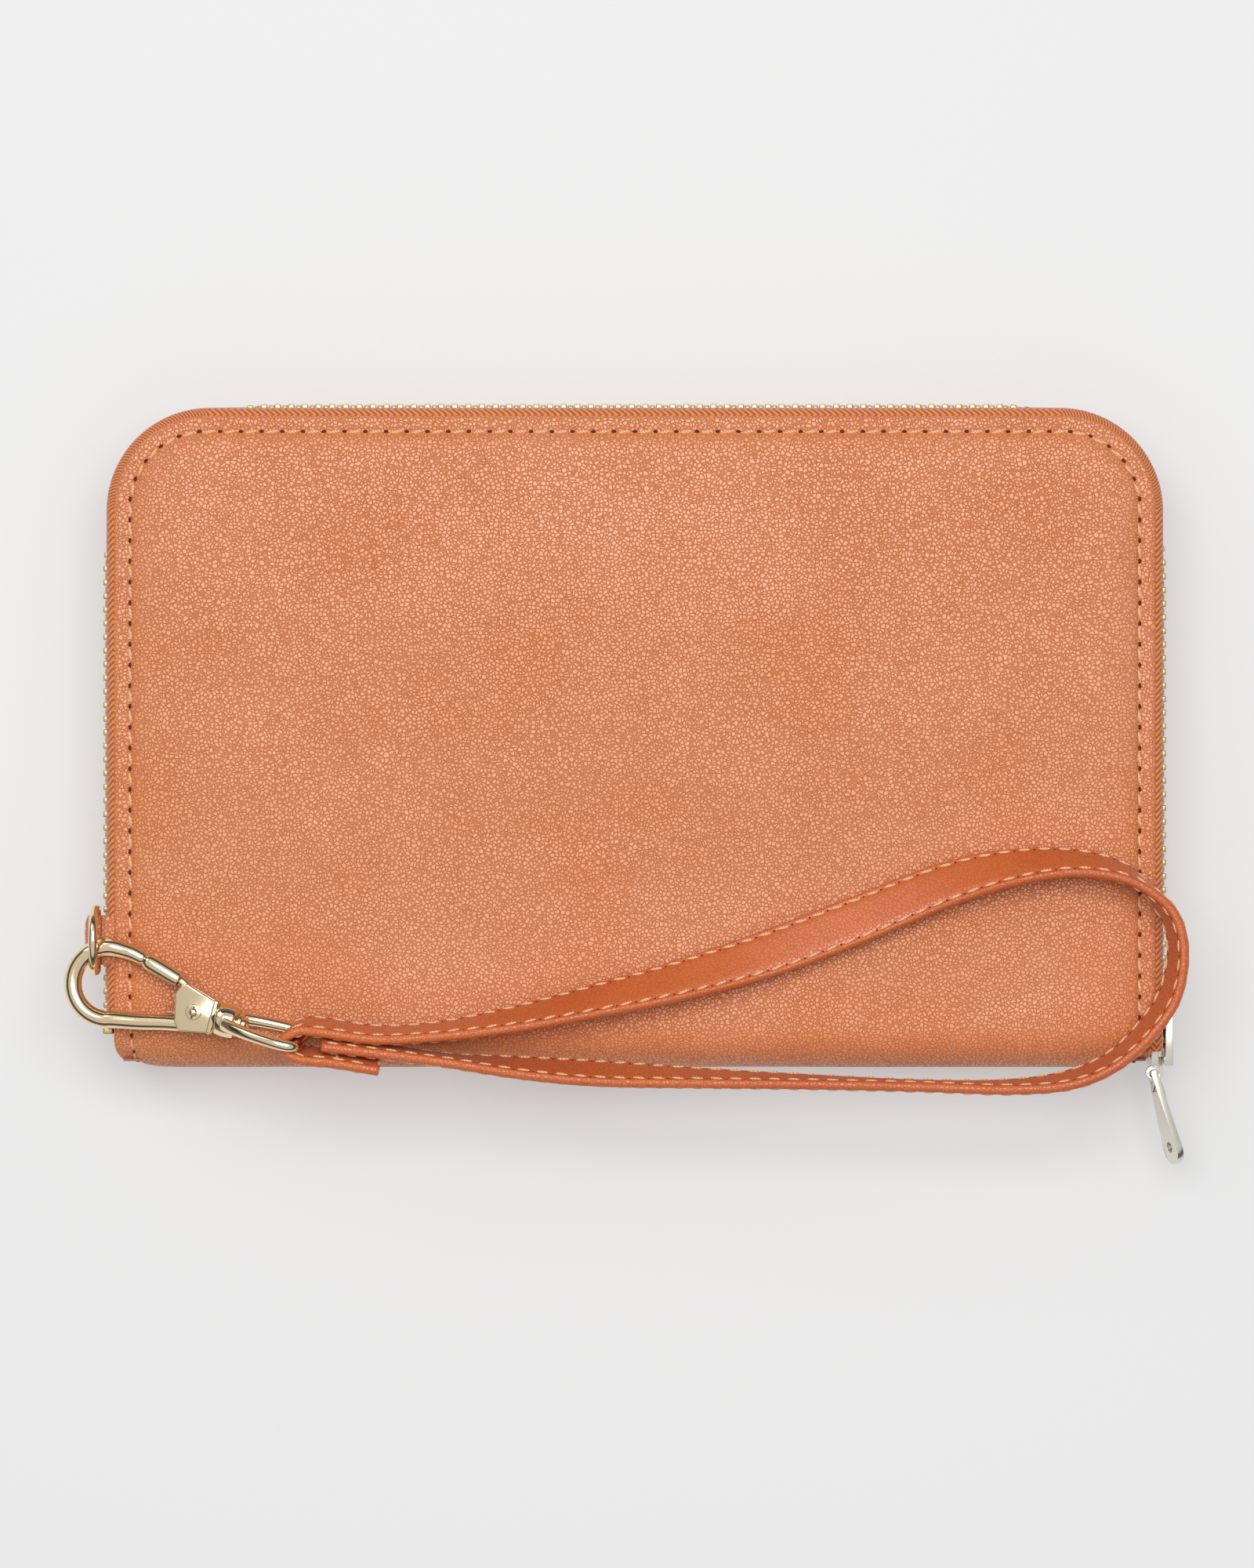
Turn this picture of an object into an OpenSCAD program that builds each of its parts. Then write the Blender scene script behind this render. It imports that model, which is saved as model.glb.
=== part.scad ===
// Zip-around long wallet with a removable wrist strap on a swivel clasp.
// It lies on its back: +Z comes out of the front cover, +Y points to the zip edge opposite the spine.
// The origin is the centre of the back cover's outer face.

/* [Wallet] */
// Width of the covers
wallet_w = 190; // [170:1:210]
// Height of the covers, spine to top edge
wallet_h = 119; // [105:1:130]
// Thickness of the closed wallet
wallet_t = 24; // [24:1:30]
// Radius of the covers' two top corners
corner_r = 17; // [10:1:20]
// Thickness of the outer leather
leather_t = 1.4; // [1:0.1:1.8]
// Thickness of the stiffening boards
board_t = 1; // [0.6:0.1:1.2]
// Thickness of the linings
lining_t = 0.8; // [0.5:0.1:1]

/* [Inside] */
// Step between the mouths of two tiers
slot_step = 12; // [8:1:14]
// Thickness of one card slot tier
slot_t = 0.5; // [0.3:0.1:0.5]
// Outer thickness of the coin pocket in the middle
coin_t = 4.8; // [4.8:0.2:5.4]
// Width of the coin pocket
coin_w = 166; // [140:1:168]

/* [Zip] */
// Distance between two teeth of the same tape
tooth_pitch = 2.5; // [2:0.1:3]
// Width of the closed chain, tape bead to tape bead
chain_w = 6.4; // [5.6:0.2:6.8]
// Distance of the chain outside the covers
chain_out = 1.6; // [1.4:0.1:2]
// Corner radius of the chain
chain_r = 30; // [25:1:34]
// Length of the slider body
slider_l = 9.5; // [8:0.5:11]
// Length of the pull from its pivot
pull_l = 17.2; // [14:0.2:20]
// Outward lean of the hanging pull
pull_lean = 14.6; // [0:0.2:20]

/* [Wrist strap] */
// Width of the strap
strap_w = 9; // [7:0.5:9]
// Thickness of the strap
strap_t = 2; // [1.6:0.1:2]
// Outer width of the ring
ring_w = 13; // [12.4:0.2:14]
// Wire diameter of the ring
ring_wire = 1.6; // [1.2:0.1:1.8]
// Radius of the clasp's hook, to the middle of its wire
hook_r = 6.6; // [6:0.1:7]
// Wire diameter of the hook
hook_wire = 2.8; // [2.4:0.1:3]

/* [Hidden] */
$fn = 48;

leather = [0.80, 0.41, 0.24];
lining_cloth = [0.72, 0.42, 0.30];
board_grey = [0.60, 0.58, 0.55];
tape_orange = [0.80, 0.40, 0.22];
pale_gold = [0.85, 0.76, 0.60];
silver = [0.80, 0.79, 0.77];

half_w = wallet_w / 2;
top_y = wallet_h / 2;
spine_y = -wallet_h / 2;
mid_z = wallet_t / 2;

// The covers fold on two lines along the spine's edges
fold_r = 1.8;
fold_y = spine_y + fold_r;
plate_low_y = fold_y + fold_r + 0.3;
spine_half = half_w - 1.6;
spine_t = 1.2;

// Stack of the back half, from the outside in; the front half mirrors it
board_z = leather_t;
lining_z = board_z + board_t;
slots_z = lining_z + lining_t;
board_margin = 5.5;
board_r = 22;
lining_margin = 0.5;
lining_r = chain_r - 2;
slot_half = half_w - 11;
slot_low_y = -50;
slot_top_y = 50;

// Zip chain
chain_x = half_w + chain_out;
chain_top = top_y + chain_out;
tape_t = 0.6;
tooth_deep = 2;
tooth_long = 1.1;
tooth_mesh = 0.4;
right_end_y = spine_y + 3;
left_end_y = spine_y + 7.5;
tape_top_z = mid_z - chain_w / 2;
flange_in = 5;
tooth_h = chain_w / 2 + tooth_mesh;

// Length along the chain, from its right end round to its left end
corner_y = chain_top - chain_r;
right_len = corner_y - right_end_y;
bend_len = PI * chain_r / 2;
top_len = 2 * (chain_x - chain_r);
left_len = corner_y - left_end_y;
chain_len = right_len + 2 * bend_len + top_len + left_len;
tooth_count = floor(chain_len / tooth_pitch) - 1;

// Slider and pull
slider_y = spine_y + 5;
slider_in = tooth_deep / 2 + 0.2;
slider_plate = 0.8;
slider_half = chain_w / 2 + 1.8;
lip_t = 0.8;
pivot_x = half_w + 0.4;
pivot_y = spine_y - 1.4;
lug_r = 1.5;
lug_half = 1.3;
pull_w = 6;
pull_t = 1.2;
pull_bar_r = 0.6;
pull_slot = 3.4;

// Coin pocket
coin_wall = 0.6;
coin_half = coin_w / 2;
coin_low_z = mid_z - coin_t / 2;
coin_top_y = 44;
coin_pitch = 2;
coin_tooth_long = 0.8;
coin_chain_half = coin_half - 12;
coin_tape_w = 1.2;
coin_slider_l = 7;
coin_slider_x = coin_chain_half - 3;
coin_pull_l = 11;
coin_pivot_y = coin_top_y + 2.7;

// Tab and ring at the left edge
ring_y = -36.2;
ring_x = -half_w - 3.4;
ring_z = wallet_t - 4.4;
ring_r = (ring_w - ring_wire) / 2;
ring_leg = 2.9;
ring_lean = 0;
tab_w = 9;
tab_fold_r = 2.1;
tab_bore_r = ring_wire / 2 + 0.1;

// Clasp: its own frame runs along the clasp, from the hook to the eye
clasp_at = [-76.3, -50, wallet_t + 4.75];
clasp_turn = -14.5;
clasp_pitch = 8.6;
hook_at = [-20.6, 1];
pin_at = [-3.5, 0];
pin_r = 0.9;
gate_bend = [-6.8, 4.2];
gate_tip = [-13.7, 6.3];
gate_half = 1;
cheek_half = 2.2;
knuckle_half = 0.9;
post_r = 1.2;
eye_lean = 14;
eye_wire = 1;
eye_bar_x = 16.5;
eye_bar_half = 5.65;
eye_turn_x = 13;
eye_root_x = 3.6;
eye_root_half = 3.2;
// How much larger the balls at the eye's corners are than its wire
joint_r = 0.12;

// Route of the strap, from the lower end round the loop, about the eye's bar and back to the tail:
// x, y and z of its middle, then how far its upper edge leans in x and y for each mm of width
strap_route = [
    [-56.5, -54.3, 31.2, 0, -0.24], [-46, -56, 30.4, 0, -0.12], [-34, -57.8, 29.2, 0, -0.08],
    [-20, -59.2, 28.9, -0.02, -0.3], [-6, -60.2, 28.9, -0.01, -0.37], [12, -61, 28.9, -0.02, -0.22],
    [32, -61.7, 28.9, -0.01, -0.09], [52, -62.4, 28.9, 0, -0.02], [68, -62.6, 28.9, 0, -0.1],
    [79, -61.3, 28.9, 0.05, -0.2], [87, -57.8, 28.9, 0.11, -0.2], [93.3, -51.8, 28.9, 0.17, -0.22],
    [97.2, -45.5, 28.9, 0.24, -0.15], [98.5, -38, 28.9, 0.22, 0.02], [97.2, -32, 28.9, 0.13, 0.15],
    [93.5, -27.3, 28.9, 0, 0], [88, -23.6, 28.9, -0.11, -0.27], [79, -22, 28.8, -0.03, -0.47],
    [68, -23, 28.2, 0.1, -0.68], [56, -26.2, 27.3, 0.19, -0.85], [40, -32.6, 26.9, 0.26, -0.9],
    [24, -38.6, 27.1, 0.26, -0.87], [8, -43.4, 28, 0.25, -0.72], [-8, -47.3, 28.7, 0.17, -0.55],
    [-22, -50.4, 29, 0.1, -0.38], [-36, -52.6, 29.4, 0.02, -0.22], [-47, -53.1, 30.3, -0.06, -0.2],
    [-56, -51.8, 31.1, -0.15, -0.2], [-60.5, -51.7, 31.2, -0.2, -0.2], [-63, -54.1, 30.85, -0.2, -0.2],
    [-60.5, -56.5, 31.2, -0.2, -0.2], [-54, -57.3, 31, -0.13, -0.22], [-46.5, -58.7, 30.6, -0.05, -0.2]
];
strap_steps = 3;

// ---------------------------------------------------------------- shared shapes

// Outline with a straight lower edge and two round upper corners
module plate_outline(half, low, top, r) {
    translate([-half, low])
        square([2 * half, top - r - low]);
    translate([-(half - r), low])
        square([2 * (half - r), top - low]);
    for (side = [-1, 1])
        translate([side * (half - r), top - r])
            circle(r, $fn = 96);
}

module plate(half, low, top, r, z, t) {
    translate([0, 0, z])
        linear_extrude(t)
            plate_outline(half, low, top, r);
}

// The front half is the back half mirrored about the wallet's middle
module to_front() {
    translate([0, 0, wallet_t])
        mirror([0, 0, 1])
            children();
}

// Place on the chain for a distance s from its right end: x, y and the direction of travel
function chain_place(s) =
    s < right_len ? [chain_x, right_end_y + s, 90]
    : s < right_len + bend_len ? chain_bend(chain_x - chain_r, 0, (s - right_len) / bend_len)
    : s < right_len + bend_len + top_len ? [chain_x - chain_r - (s - right_len - bend_len), chain_top, 180]
    : s < right_len + 2 * bend_len + top_len
        ? chain_bend(chain_r - chain_x, 90, (s - right_len - bend_len - top_len) / bend_len)
    : [-chain_x, corner_y - (s - right_len - 2 * bend_len - top_len), 270];

function chain_bend(x, start, part) =
    let (a = start + 90 * part) [x + chain_r * cos(a), corner_y + chain_r * sin(a), a + 90];

// ---------------------------------------------------------------- covers and linings

module cover() {
    color(leather)
        plate(half_w, plate_low_y, top_y, corner_r, 0, leather_t);
}

module board() {
    color(board_grey)
        plate(half_w - board_margin, plate_low_y, top_y - board_margin, board_r, board_z, board_t);
}

module lining() {
    color(lining_cloth)
        plate(half_w - lining_margin, plate_low_y, top_y - lining_margin, lining_r, lining_z, lining_t);
}

module card_slot(tier) {
    color(leather)
        translate([-slot_half, slot_low_y, slots_z + (tier - 1) * slot_t])
            cube([2 * slot_half, slot_top_y - (tier - 1) * slot_step - slot_low_y, slot_t]);
}

module spine_cover() {
    color(leather) {
        for (z = [fold_r, wallet_t - fold_r])
            translate([-spine_half, fold_y, z])
                rotate([0, 90, 0])
                    cylinder(h = 2 * spine_half, r = fold_r);
        translate([-spine_half, spine_y, fold_r])
            cube([2 * spine_half, spine_t, wallet_t - 2 * fold_r]);
    }
}

module spine_lining() {
    color(lining_cloth)
        translate([-spine_half, spine_y + spine_t, 2 * fold_r])
            cube([2 * spine_half, 0.4, wallet_t - 4 * fold_r]);
}

// Half of a side gusset: a sheet from the lining's edge to the fold in the middle
module gusset_half(side) {
    foot_x = half_w - 4;
    fold_x = half_w - 8;
    sheet = 0.6;
    color(lining_cloth)
        translate([0, 25, 0])
            rotate([90, 0, 0])
                linear_extrude(75)
                    scale_side(side)
                        polygon([[foot_x, slots_z], [foot_x + sheet, slots_z],
                                 [fold_x + sheet, mid_z - 0.2], [fold_x, mid_z - 0.2]]);
}

module scale_side(side) {
    if (side < 0)
        mirror([1, 0])
            children();
    else
        children();
}

// ---------------------------------------------------------------- main zip

// One half of the tape: a standing wall with the chain on its edge, and a flange sewn under the lining
module zip_tape() {
    wall = tape_t / 2;
    color(tape_orange)
        difference() {
            union() {
                translate([0, 0, board_z])
                    linear_extrude(tape_top_z - board_z)
                        difference() {
                            plate_outline(chain_x + wall, right_end_y, chain_top + wall, chain_r + wall);
                            plate_outline(chain_x - wall, right_end_y - 1, chain_top - wall, chain_r - wall);
                        }
                translate([0, 0, board_z])
                    linear_extrude(board_t)
                        difference() {
                            plate_outline(chain_x + wall, plate_low_y, chain_top + wall, chain_r + wall);
                            plate_outline(half_w - flange_in, plate_low_y - 1, top_y - flange_in, board_r);
                        }
            }
            translate([-half_w - 10, spine_y, 0])
                cube([20, left_end_y - spine_y, wallet_t]);
        }
}

// The front tape is cut out where the ring's tab is sewn in
module front_zip_tape() {
    gap = 0.1;
    color(tape_orange)
        difference() {
            to_front()
                zip_tape();
            translate([ring_x - 5, ring_y - tab_w / 2 - gap, wallet_t - leather_t - 1.5])
                cube([13.2, tab_w + 2 * gap, 2]);
        }
}

module tooth_row(shift) {
    color(pale_gold)
        for (k = [0 : tooth_count - 1]) {
            place = chain_place((k + shift) * tooth_pitch);
            translate([place.x, place.y, tape_top_z])
                rotate(place.z)
                    translate([-tooth_long / 2, -tooth_deep / 2, 0])
                        cube([tooth_long, tooth_deep, tooth_h]);
        }
}

module zip_stop() {
    color(pale_gold)
        translate([-chain_x - tooth_deep / 2, left_end_y - 1.6, tape_top_z])
            cube([tooth_deep, 1.4, chain_w / 2 - 0.1]);
}

// Slider for a chain that runs along +Y, with its faces across X, centred on the chain
module slider_body(length, half, plate_in, post_half) {
    for (side = [-1, 1])
        translate([side > 0 ? plate_in : -plate_in - slider_plate, -length / 2, -half])
            cube([slider_plate, length, 2 * half]);
    translate([-plate_in, -length / 2, -post_half])
        cube([2 * plate_in, 1.4, 2 * post_half]);
}

module zip_slider() {
    slot_half_w = tape_t / 2 + 0.3;
    color(silver)
        difference() {
            union() {
                translate([chain_x, slider_y, mid_z]) {
                    slider_body(slider_l, slider_half, slider_in, 0.8);
                    for (side = [-1, 1], face = [-1, 1])
                        translate([face > 0 ? slot_half_w : -slider_in, -slider_l / 2,
                                   side > 0 ? slider_half - lip_t : -slider_half])
                            cube([slider_in - slot_half_w, slider_l, lip_t]);
                }
                translate([pivot_x, pivot_y, mid_z - lug_half])
                    cylinder(h = 2 * lug_half, r = lug_r);
                translate([pivot_x - 0.6, pivot_y, mid_z - lug_half])
                    cube([2.1, slider_y - slider_l / 2 + 1.4 - pivot_y, 2 * lug_half]);
            }
            translate([pivot_x, pivot_y, mid_z - lug_half - 1])
                cylinder(h = 2 * lug_half + 2, r = pull_bar_r + 0.2);
        }
}

// Pull of length l and width w, hanging along -Y from its bar on the Z axis
module pull_plate(l, w, slot) {
    rail = (w - slot) / 2;
    cylinder(h = w, r = pull_bar_r, center = true);
    difference() {
        union() {
            translate([-pull_t / 2, -l + w / 2, -w / 2])
                cube([pull_t, l - w / 2, w]);
            translate([0, -l + w / 2, 0])
                rotate([0, 90, 0])
                    cylinder(h = pull_t, r = w / 2, center = true);
        }
        translate([-pull_t, -slot, -w / 2 + rail])
            cube([2 * pull_t, slot + pull_t, slot]);
        translate([0, -l + 0.55 * w, 0])
            rotate([0, 90, 0])
                cylinder(h = 2 * pull_t, r = w / 6, center = true);
    }
}

module zip_pull() {
    color(silver)
        translate([pivot_x, pivot_y, mid_z])
            rotate(pull_lean)
                pull_plate(pull_l, pull_w, pull_slot);
}

// ---------------------------------------------------------------- coin pocket

module coin_wall_sheet(z) {
    translate([-coin_half, spine_y + spine_t + 0.4, z])
        cube([2 * coin_half, coin_top_y - spine_y - spine_t - 0.4, coin_wall]);
}

module coin_pocket_back_wall() {
    seam_w = 3;
    seam_h = coin_t - 2 * coin_wall;
    low_y = spine_y + spine_t + 0.4;
    color(leather) {
        coin_wall_sheet(coin_low_z);
        for (side = [-1, 1])
            translate([side > 0 ? coin_half - seam_w : -coin_half, low_y, coin_low_z + coin_wall])
                cube([seam_w, coin_top_y - low_y, seam_h]);
        translate([-coin_half + seam_w, low_y, coin_low_z + coin_wall])
            cube([2 * (coin_half - seam_w), seam_w, seam_h]);
    }
}

module coin_pocket_front_wall() {
    color(leather)
        coin_wall_sheet(coin_low_z + coin_t - coin_wall);
}

module coin_zip_tape() {
    color(tape_orange)
        for (z = [coin_low_z + coin_wall, coin_low_z + coin_t - coin_wall - coin_tape_w])
            translate([-coin_half + 3, coin_top_y - 0.5, z])
                cube([2 * coin_half - 6, 0.5, coin_tape_w]);
}

module coin_zip_teeth() {
    tooth = mid_z - coin_low_z - coin_wall - coin_tape_w + 0.25;
    count = floor(2 * coin_chain_half / coin_pitch) - 1;
    color(pale_gold)
        for (k = [0 : count - 1]) {
            x = -coin_chain_half + k * coin_pitch;
            translate([x, coin_top_y - 1.2, coin_low_z + coin_wall + coin_tape_w])
                cube([coin_tooth_long, 1.9, tooth]);
            translate([x + coin_pitch / 2, coin_top_y - 1.2, mid_z - 0.25])
                cube([coin_tooth_long, 1.9, tooth]);
        }
}

module coin_zip_slider() {
    color(silver)
        difference() {
            union() {
                translate([coin_slider_x, coin_top_y - 0.25, mid_z])
                    rotate(90)
                        slider_body(coin_slider_l, 1.6, 1.2, 0.5);
                translate([coin_slider_x, coin_pivot_y, mid_z - 0.9])
                    cylinder(h = 1.8, r = 1.4);
                translate([coin_slider_x - 1.4, coin_top_y + 1.2, mid_z - 0.9])
                    cube([2.8, coin_pivot_y - coin_top_y - 1.2, 1.8]);
            }
            translate([coin_slider_x, coin_pivot_y, mid_z - 2])
                cylinder(h = 4, r = pull_bar_r + 0.2);
        }
}

module coin_zip_pull() {
    color(silver)
        translate([coin_slider_x, coin_pivot_y, mid_z])
            rotate(-92)
                pull_plate(coin_pull_l, 4, 2.6);
}

// ---------------------------------------------------------------- tab and ring

module tab_solid() {
    tongue_t = 1;
    wall_x = -chain_x - tape_t / 2 - 0.1;
    roof_z = wallet_t - leather_t;
    translate([ring_x, ring_y - tab_w / 2, ring_z])
        intersection() {
            union() {
                rotate([-90, 0, 0])
                    cylinder(h = tab_w, r = tab_fold_r);
                cube([wall_x - ring_x, tab_w, roof_z - ring_z]);
            }
            translate([-2 * tab_fold_r, -1, -2 * tab_fold_r])
                cube([2 * tab_fold_r + wall_x - ring_x, tab_w + 2, 4 * tab_fold_r]);
        }
    translate([ring_x, ring_y - tab_w / 2, roof_z - tongue_t])
        cube([8, tab_w, tongue_t]);
}

module ring_tab() {
    color(leather)
        difference() {
            tab_solid();
            translate([ring_x, ring_y - tab_w, ring_z])
                rotate([-90, 0, 0])
                    cylinder(h = 2 * tab_w, r = tab_bore_r);
        }
}

// The ring stands on its straight bar, which lies along Y in the tab's fold
module d_ring() {
    color(pale_gold)
        translate([ring_x, ring_y, ring_z])
            rotate([0, -ring_lean, 0]) {
                rotate([90, 0, 0])
                    cylinder(h = 2 * ring_r, r = ring_wire / 2, center = true);
                for (side = [-1, 1])
                    translate([0, side * ring_r, 0]) {
                        sphere(ring_wire / 2);
                        cylinder(h = ring_leg, r = ring_wire / 2);
                    }
                translate([0, 0, ring_leg])
                    rotate([90, 0, 90])
                        rotate_extrude(angle = 180)
                            translate([ring_r, 0])
                                circle(ring_wire / 2);
            }
}

// ---------------------------------------------------------------- clasp

module on_clasp() {
    translate(clasp_at)
        rotate([0, -clasp_pitch, clasp_turn])
            children();
}

// Round bar between two points of the clasp's plane
module bar(a, b, r) {
    along = b - a;
    translate([a.x, a.y, 0])
        rotate([0, 90, atan2(along.y, along.x)])
            cylinder(h = norm(along), r = r);
}

module clasp_hook() {
    r = hook_wire / 2;
    nose_turn = 80;
    bow_turn = 218;
    arm_end = hook_at + hook_r * [cos(nose_turn + bow_turn), sin(nose_turn + bow_turn)];
    arm_root = [-4.5, -2.7];
    tongue_at = hook_at + (hook_r + 0.1) * [cos(nose_turn), sin(nose_turn)];
    color(pale_gold)
        on_clasp()
            difference() {
                union() {
                    translate([hook_at.x, hook_at.y, 0])
                        rotate(nose_turn)
                            rotate_extrude(angle = bow_turn)
                                translate([hook_r, 0])
                                    circle(r);
                    bar(arm_end - [0.6, -0.1], arm_root, r - 0.07);
                    translate([tongue_at.x, tongue_at.y, -1])
                        rotate(-9)
                            translate([-0.5, -0.45, 0])
                                cube([4.4, 0.9, 2]);
                    translate([0, 0, -cheek_half])
                        linear_extrude(2 * cheek_half)
                            polygon([[-7.7, 2.7], [-6, 4.8], [-0.4, 3], [0.3, 3], [0.3, -2.9], [-5.4, -4]]);
                }
                gate_room();
                translate([pin_at.x, pin_at.y, -cheek_half - 1])
                    cylinder(h = 2 * cheek_half + 2, r = pin_r + 0.03);
                rotate([0, 90, 0])
                    cylinder(h = 4, r = post_r + 0.03, center = true);
            }
}

// Slot between the cheeks in which the gate turns
module gate_room() {
    room_half = knuckle_half + 0.15;
    translate([-9, -1.25, -room_half])
        cube([7.6, 7, 2 * room_half]);
    translate([pin_at.x, pin_at.y, -room_half])
        cylinder(h = 2 * room_half, r = 1.7);
}

// Sprung bar: up from its knuckle, then across to the tip of the nose
module clasp_gate() {
    thick = 2 * knuckle_half;
    color(pale_gold)
        on_clasp()
            difference() {
                translate([0, 0, -knuckle_half])
                    union() {
                        translate([pin_at.x, pin_at.y, 0])
                            cylinder(h = thick, r = 1.6);
                        for (pair = [[pin_at, gate_bend], [gate_bend, gate_tip]])
                            hull()
                                for (end = pair)
                                    translate([end.x, end.y, 0])
                                        cylinder(h = thick, r = gate_half);
                    }
                translate([pin_at.x, pin_at.y, -cheek_half])
                    cylinder(h = 2 * cheek_half, r = pin_r + 0.05);
            }
}

module gate_pin() {
    head = 0.4;
    color(pale_gold)
        on_clasp()
            translate([pin_at.x, pin_at.y, -cheek_half - head]) {
                cylinder(h = 2 * (cheek_half + head), r = pin_r);
                cylinder(h = head, r = 1.6);
                translate([0, 0, 2 * cheek_half + head])
                    cylinder(h = head, r = 1.6);
            }
}

module gate_spring() {
    color(silver)
        on_clasp()
            translate([-8.6, -1.15, -0.6])
                cube([3.4, 0.2, 1.2]);
}

module swivel_post() {
    head_x = 4.6;
    color(pale_gold)
        on_clasp()
            rotate([0, 90, 0]) {
                translate([0, 0, -1.2])
                    cylinder(h = head_x + 1.2, r = post_r);
                translate([0, 0, head_x])
                    cylinder(h = 0.9, r = 2.1);
                translate([0, 0, head_x + 0.9])
                    cylinder(h = 0.7, r = 1.5);
            }
}

module swivel_eye() {
    barrel_x = 0.6;
    barrel_l = 3.7;
    arm = [eye_turn_x - eye_root_x, eye_bar_half - eye_root_half];
    color(pale_gold)
        on_clasp()
            rotate([eye_lean, 0, 0])
                difference() {
                    union() {
                        translate([barrel_x, 0, 0])
                            rotate([0, 90, 0])
                                cylinder(h = barrel_l, r = 3);
                        for (side = [-1, 1]) {
                            translate([eye_root_x, 0, side * eye_root_half]) {
                                sphere(eye_wire + joint_r);
                                rotate([0, 90 - side * atan2(arm.y, arm.x), 0])
                                    cylinder(h = norm(arm), r = eye_wire);
                            }
                            translate([eye_turn_x, 0, side * eye_bar_half]) {
                                sphere(eye_wire + joint_r);
                                rotate([0, 90, 0])
                                    cylinder(h = eye_bar_x - eye_turn_x, r = eye_wire);
                            }
                            translate([eye_bar_x, 0, side * eye_bar_half])
                                sphere(eye_wire + joint_r);
                        }
                        translate([eye_bar_x, 0, 0])
                            cylinder(h = 2 * eye_bar_half, r = eye_wire, center = true);
                    }
                    rotate([0, 90, 0])
                        cylinder(h = 4.55, r = post_r + 0.06);
                    translate([4.3, 0, 0])
                        rotate([0, 90, 0])
                            cylinder(h = 2.4, r = 2.4);
                }
}

// ---------------------------------------------------------------- wrist strap

// Catmull-Rom curve through the route
function route_at(i, t) =
    let (n = len(strap_route) - 1,
         p = strap_route[max(i - 1, 0)], q = strap_route[i],
         r = strap_route[i + 1], s = strap_route[min(i + 2, n)])
    0.5 * (2 * q + (r - p) * t + (2 * p - 5 * q + 4 * r - s) * t * t + (3 * q - p - 3 * r + s) * t * t * t);

strap_path = [
    for (i = [0 : len(strap_route) - 2], k = [0 : strap_steps - 1]) route_at(i, k / strap_steps),
    strap_route[len(strap_route) - 1]
];

function unit(v) = v / norm(v);

// Cross-section of the strap: distance across its thickness and along its width
strap_section = let (a = strap_t / 2, b = strap_w / 2, c = 0.6)
    [[a, -b + c], [a, b - c], [a - c, b], [c - a, b], [-a, b - c], [-a, c - b], [c - a, -b], [a - c, -b]];

function strap_ring(i) =
    let (n = len(strap_path) - 1,
         p = strap_path[i],
         way = strap_path[min(i + 1, n)] - strap_path[max(i - 1, 0)],
         along = unit([way[0], way[1], way[2]]),
         lean = [p[3], p[4], sqrt(1 - p[3] * p[3] - p[4] * p[4])],
         thick = unit(cross(lean, along)),
         wide = cross(along, thick))
    [for (c = strap_section) [p[0], p[1], p[2]] + c[0] * thick + c[1] * wide];

module wrist_strap() {
    n = len(strap_path);
    m = len(strap_section);
    points = [for (i = [0 : n - 1]) each strap_ring(i)];
    sides = [for (i = [0 : n - 2], j = [0 : m - 1])
        [i * m + j, i * m + (j + 1) % m, (i + 1) * m + (j + 1) % m, (i + 1) * m + j]];
    ends = [[for (j = [m - 1 : -1 : 0]) j], [for (j = [0 : m - 1]) (n - 1) * m + j]];
    color(leather)
        polyhedron(points, concat(sides, ends));
}

// ---------------------------------------------------------------- nodes

cover();  // back_cover
board();  // back_board
lining();  // back_lining
card_slot(1);  // back_card_slot_1
card_slot(2);  // back_card_slot_2
card_slot(3);  // back_card_slot_3
card_slot(4);  // back_card_slot_4
zip_tape();  // back_zip_tape
tooth_row(0.25);  // back_zip_teeth
zip_stop();  // back_zip_stop
spine_cover();
spine_lining();
coin_pocket_back_wall();
coin_pocket_front_wall();
coin_zip_tape();
coin_zip_teeth();
coin_zip_slider();
coin_zip_pull();
to_front() cover();  // front_cover
to_front() board();  // front_board
to_front() lining();  // front_lining
to_front() card_slot(1);  // front_card_slot_1
to_front() card_slot(2);  // front_card_slot_2
to_front() card_slot(3);  // front_card_slot_3
to_front() card_slot(4);  // front_card_slot_4
front_zip_tape();
to_front() tooth_row(0.75);  // front_zip_teeth
to_front() zip_stop();  // front_zip_stop
gusset_half(-1);  // gusset_back_left
gusset_half(1);  // gusset_back_right
to_front() gusset_half(-1);  // gusset_front_left
to_front() gusset_half(1);  // gusset_front_right
zip_slider();
zip_pull();
ring_tab();
d_ring();
clasp_hook();
clasp_gate();
gate_pin();
gate_spring();
swivel_post();
swivel_eye();
wrist_strap();
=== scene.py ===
import math

import bpy
import numpy as np
from mathutils import Matrix, Vector, noise


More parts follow.
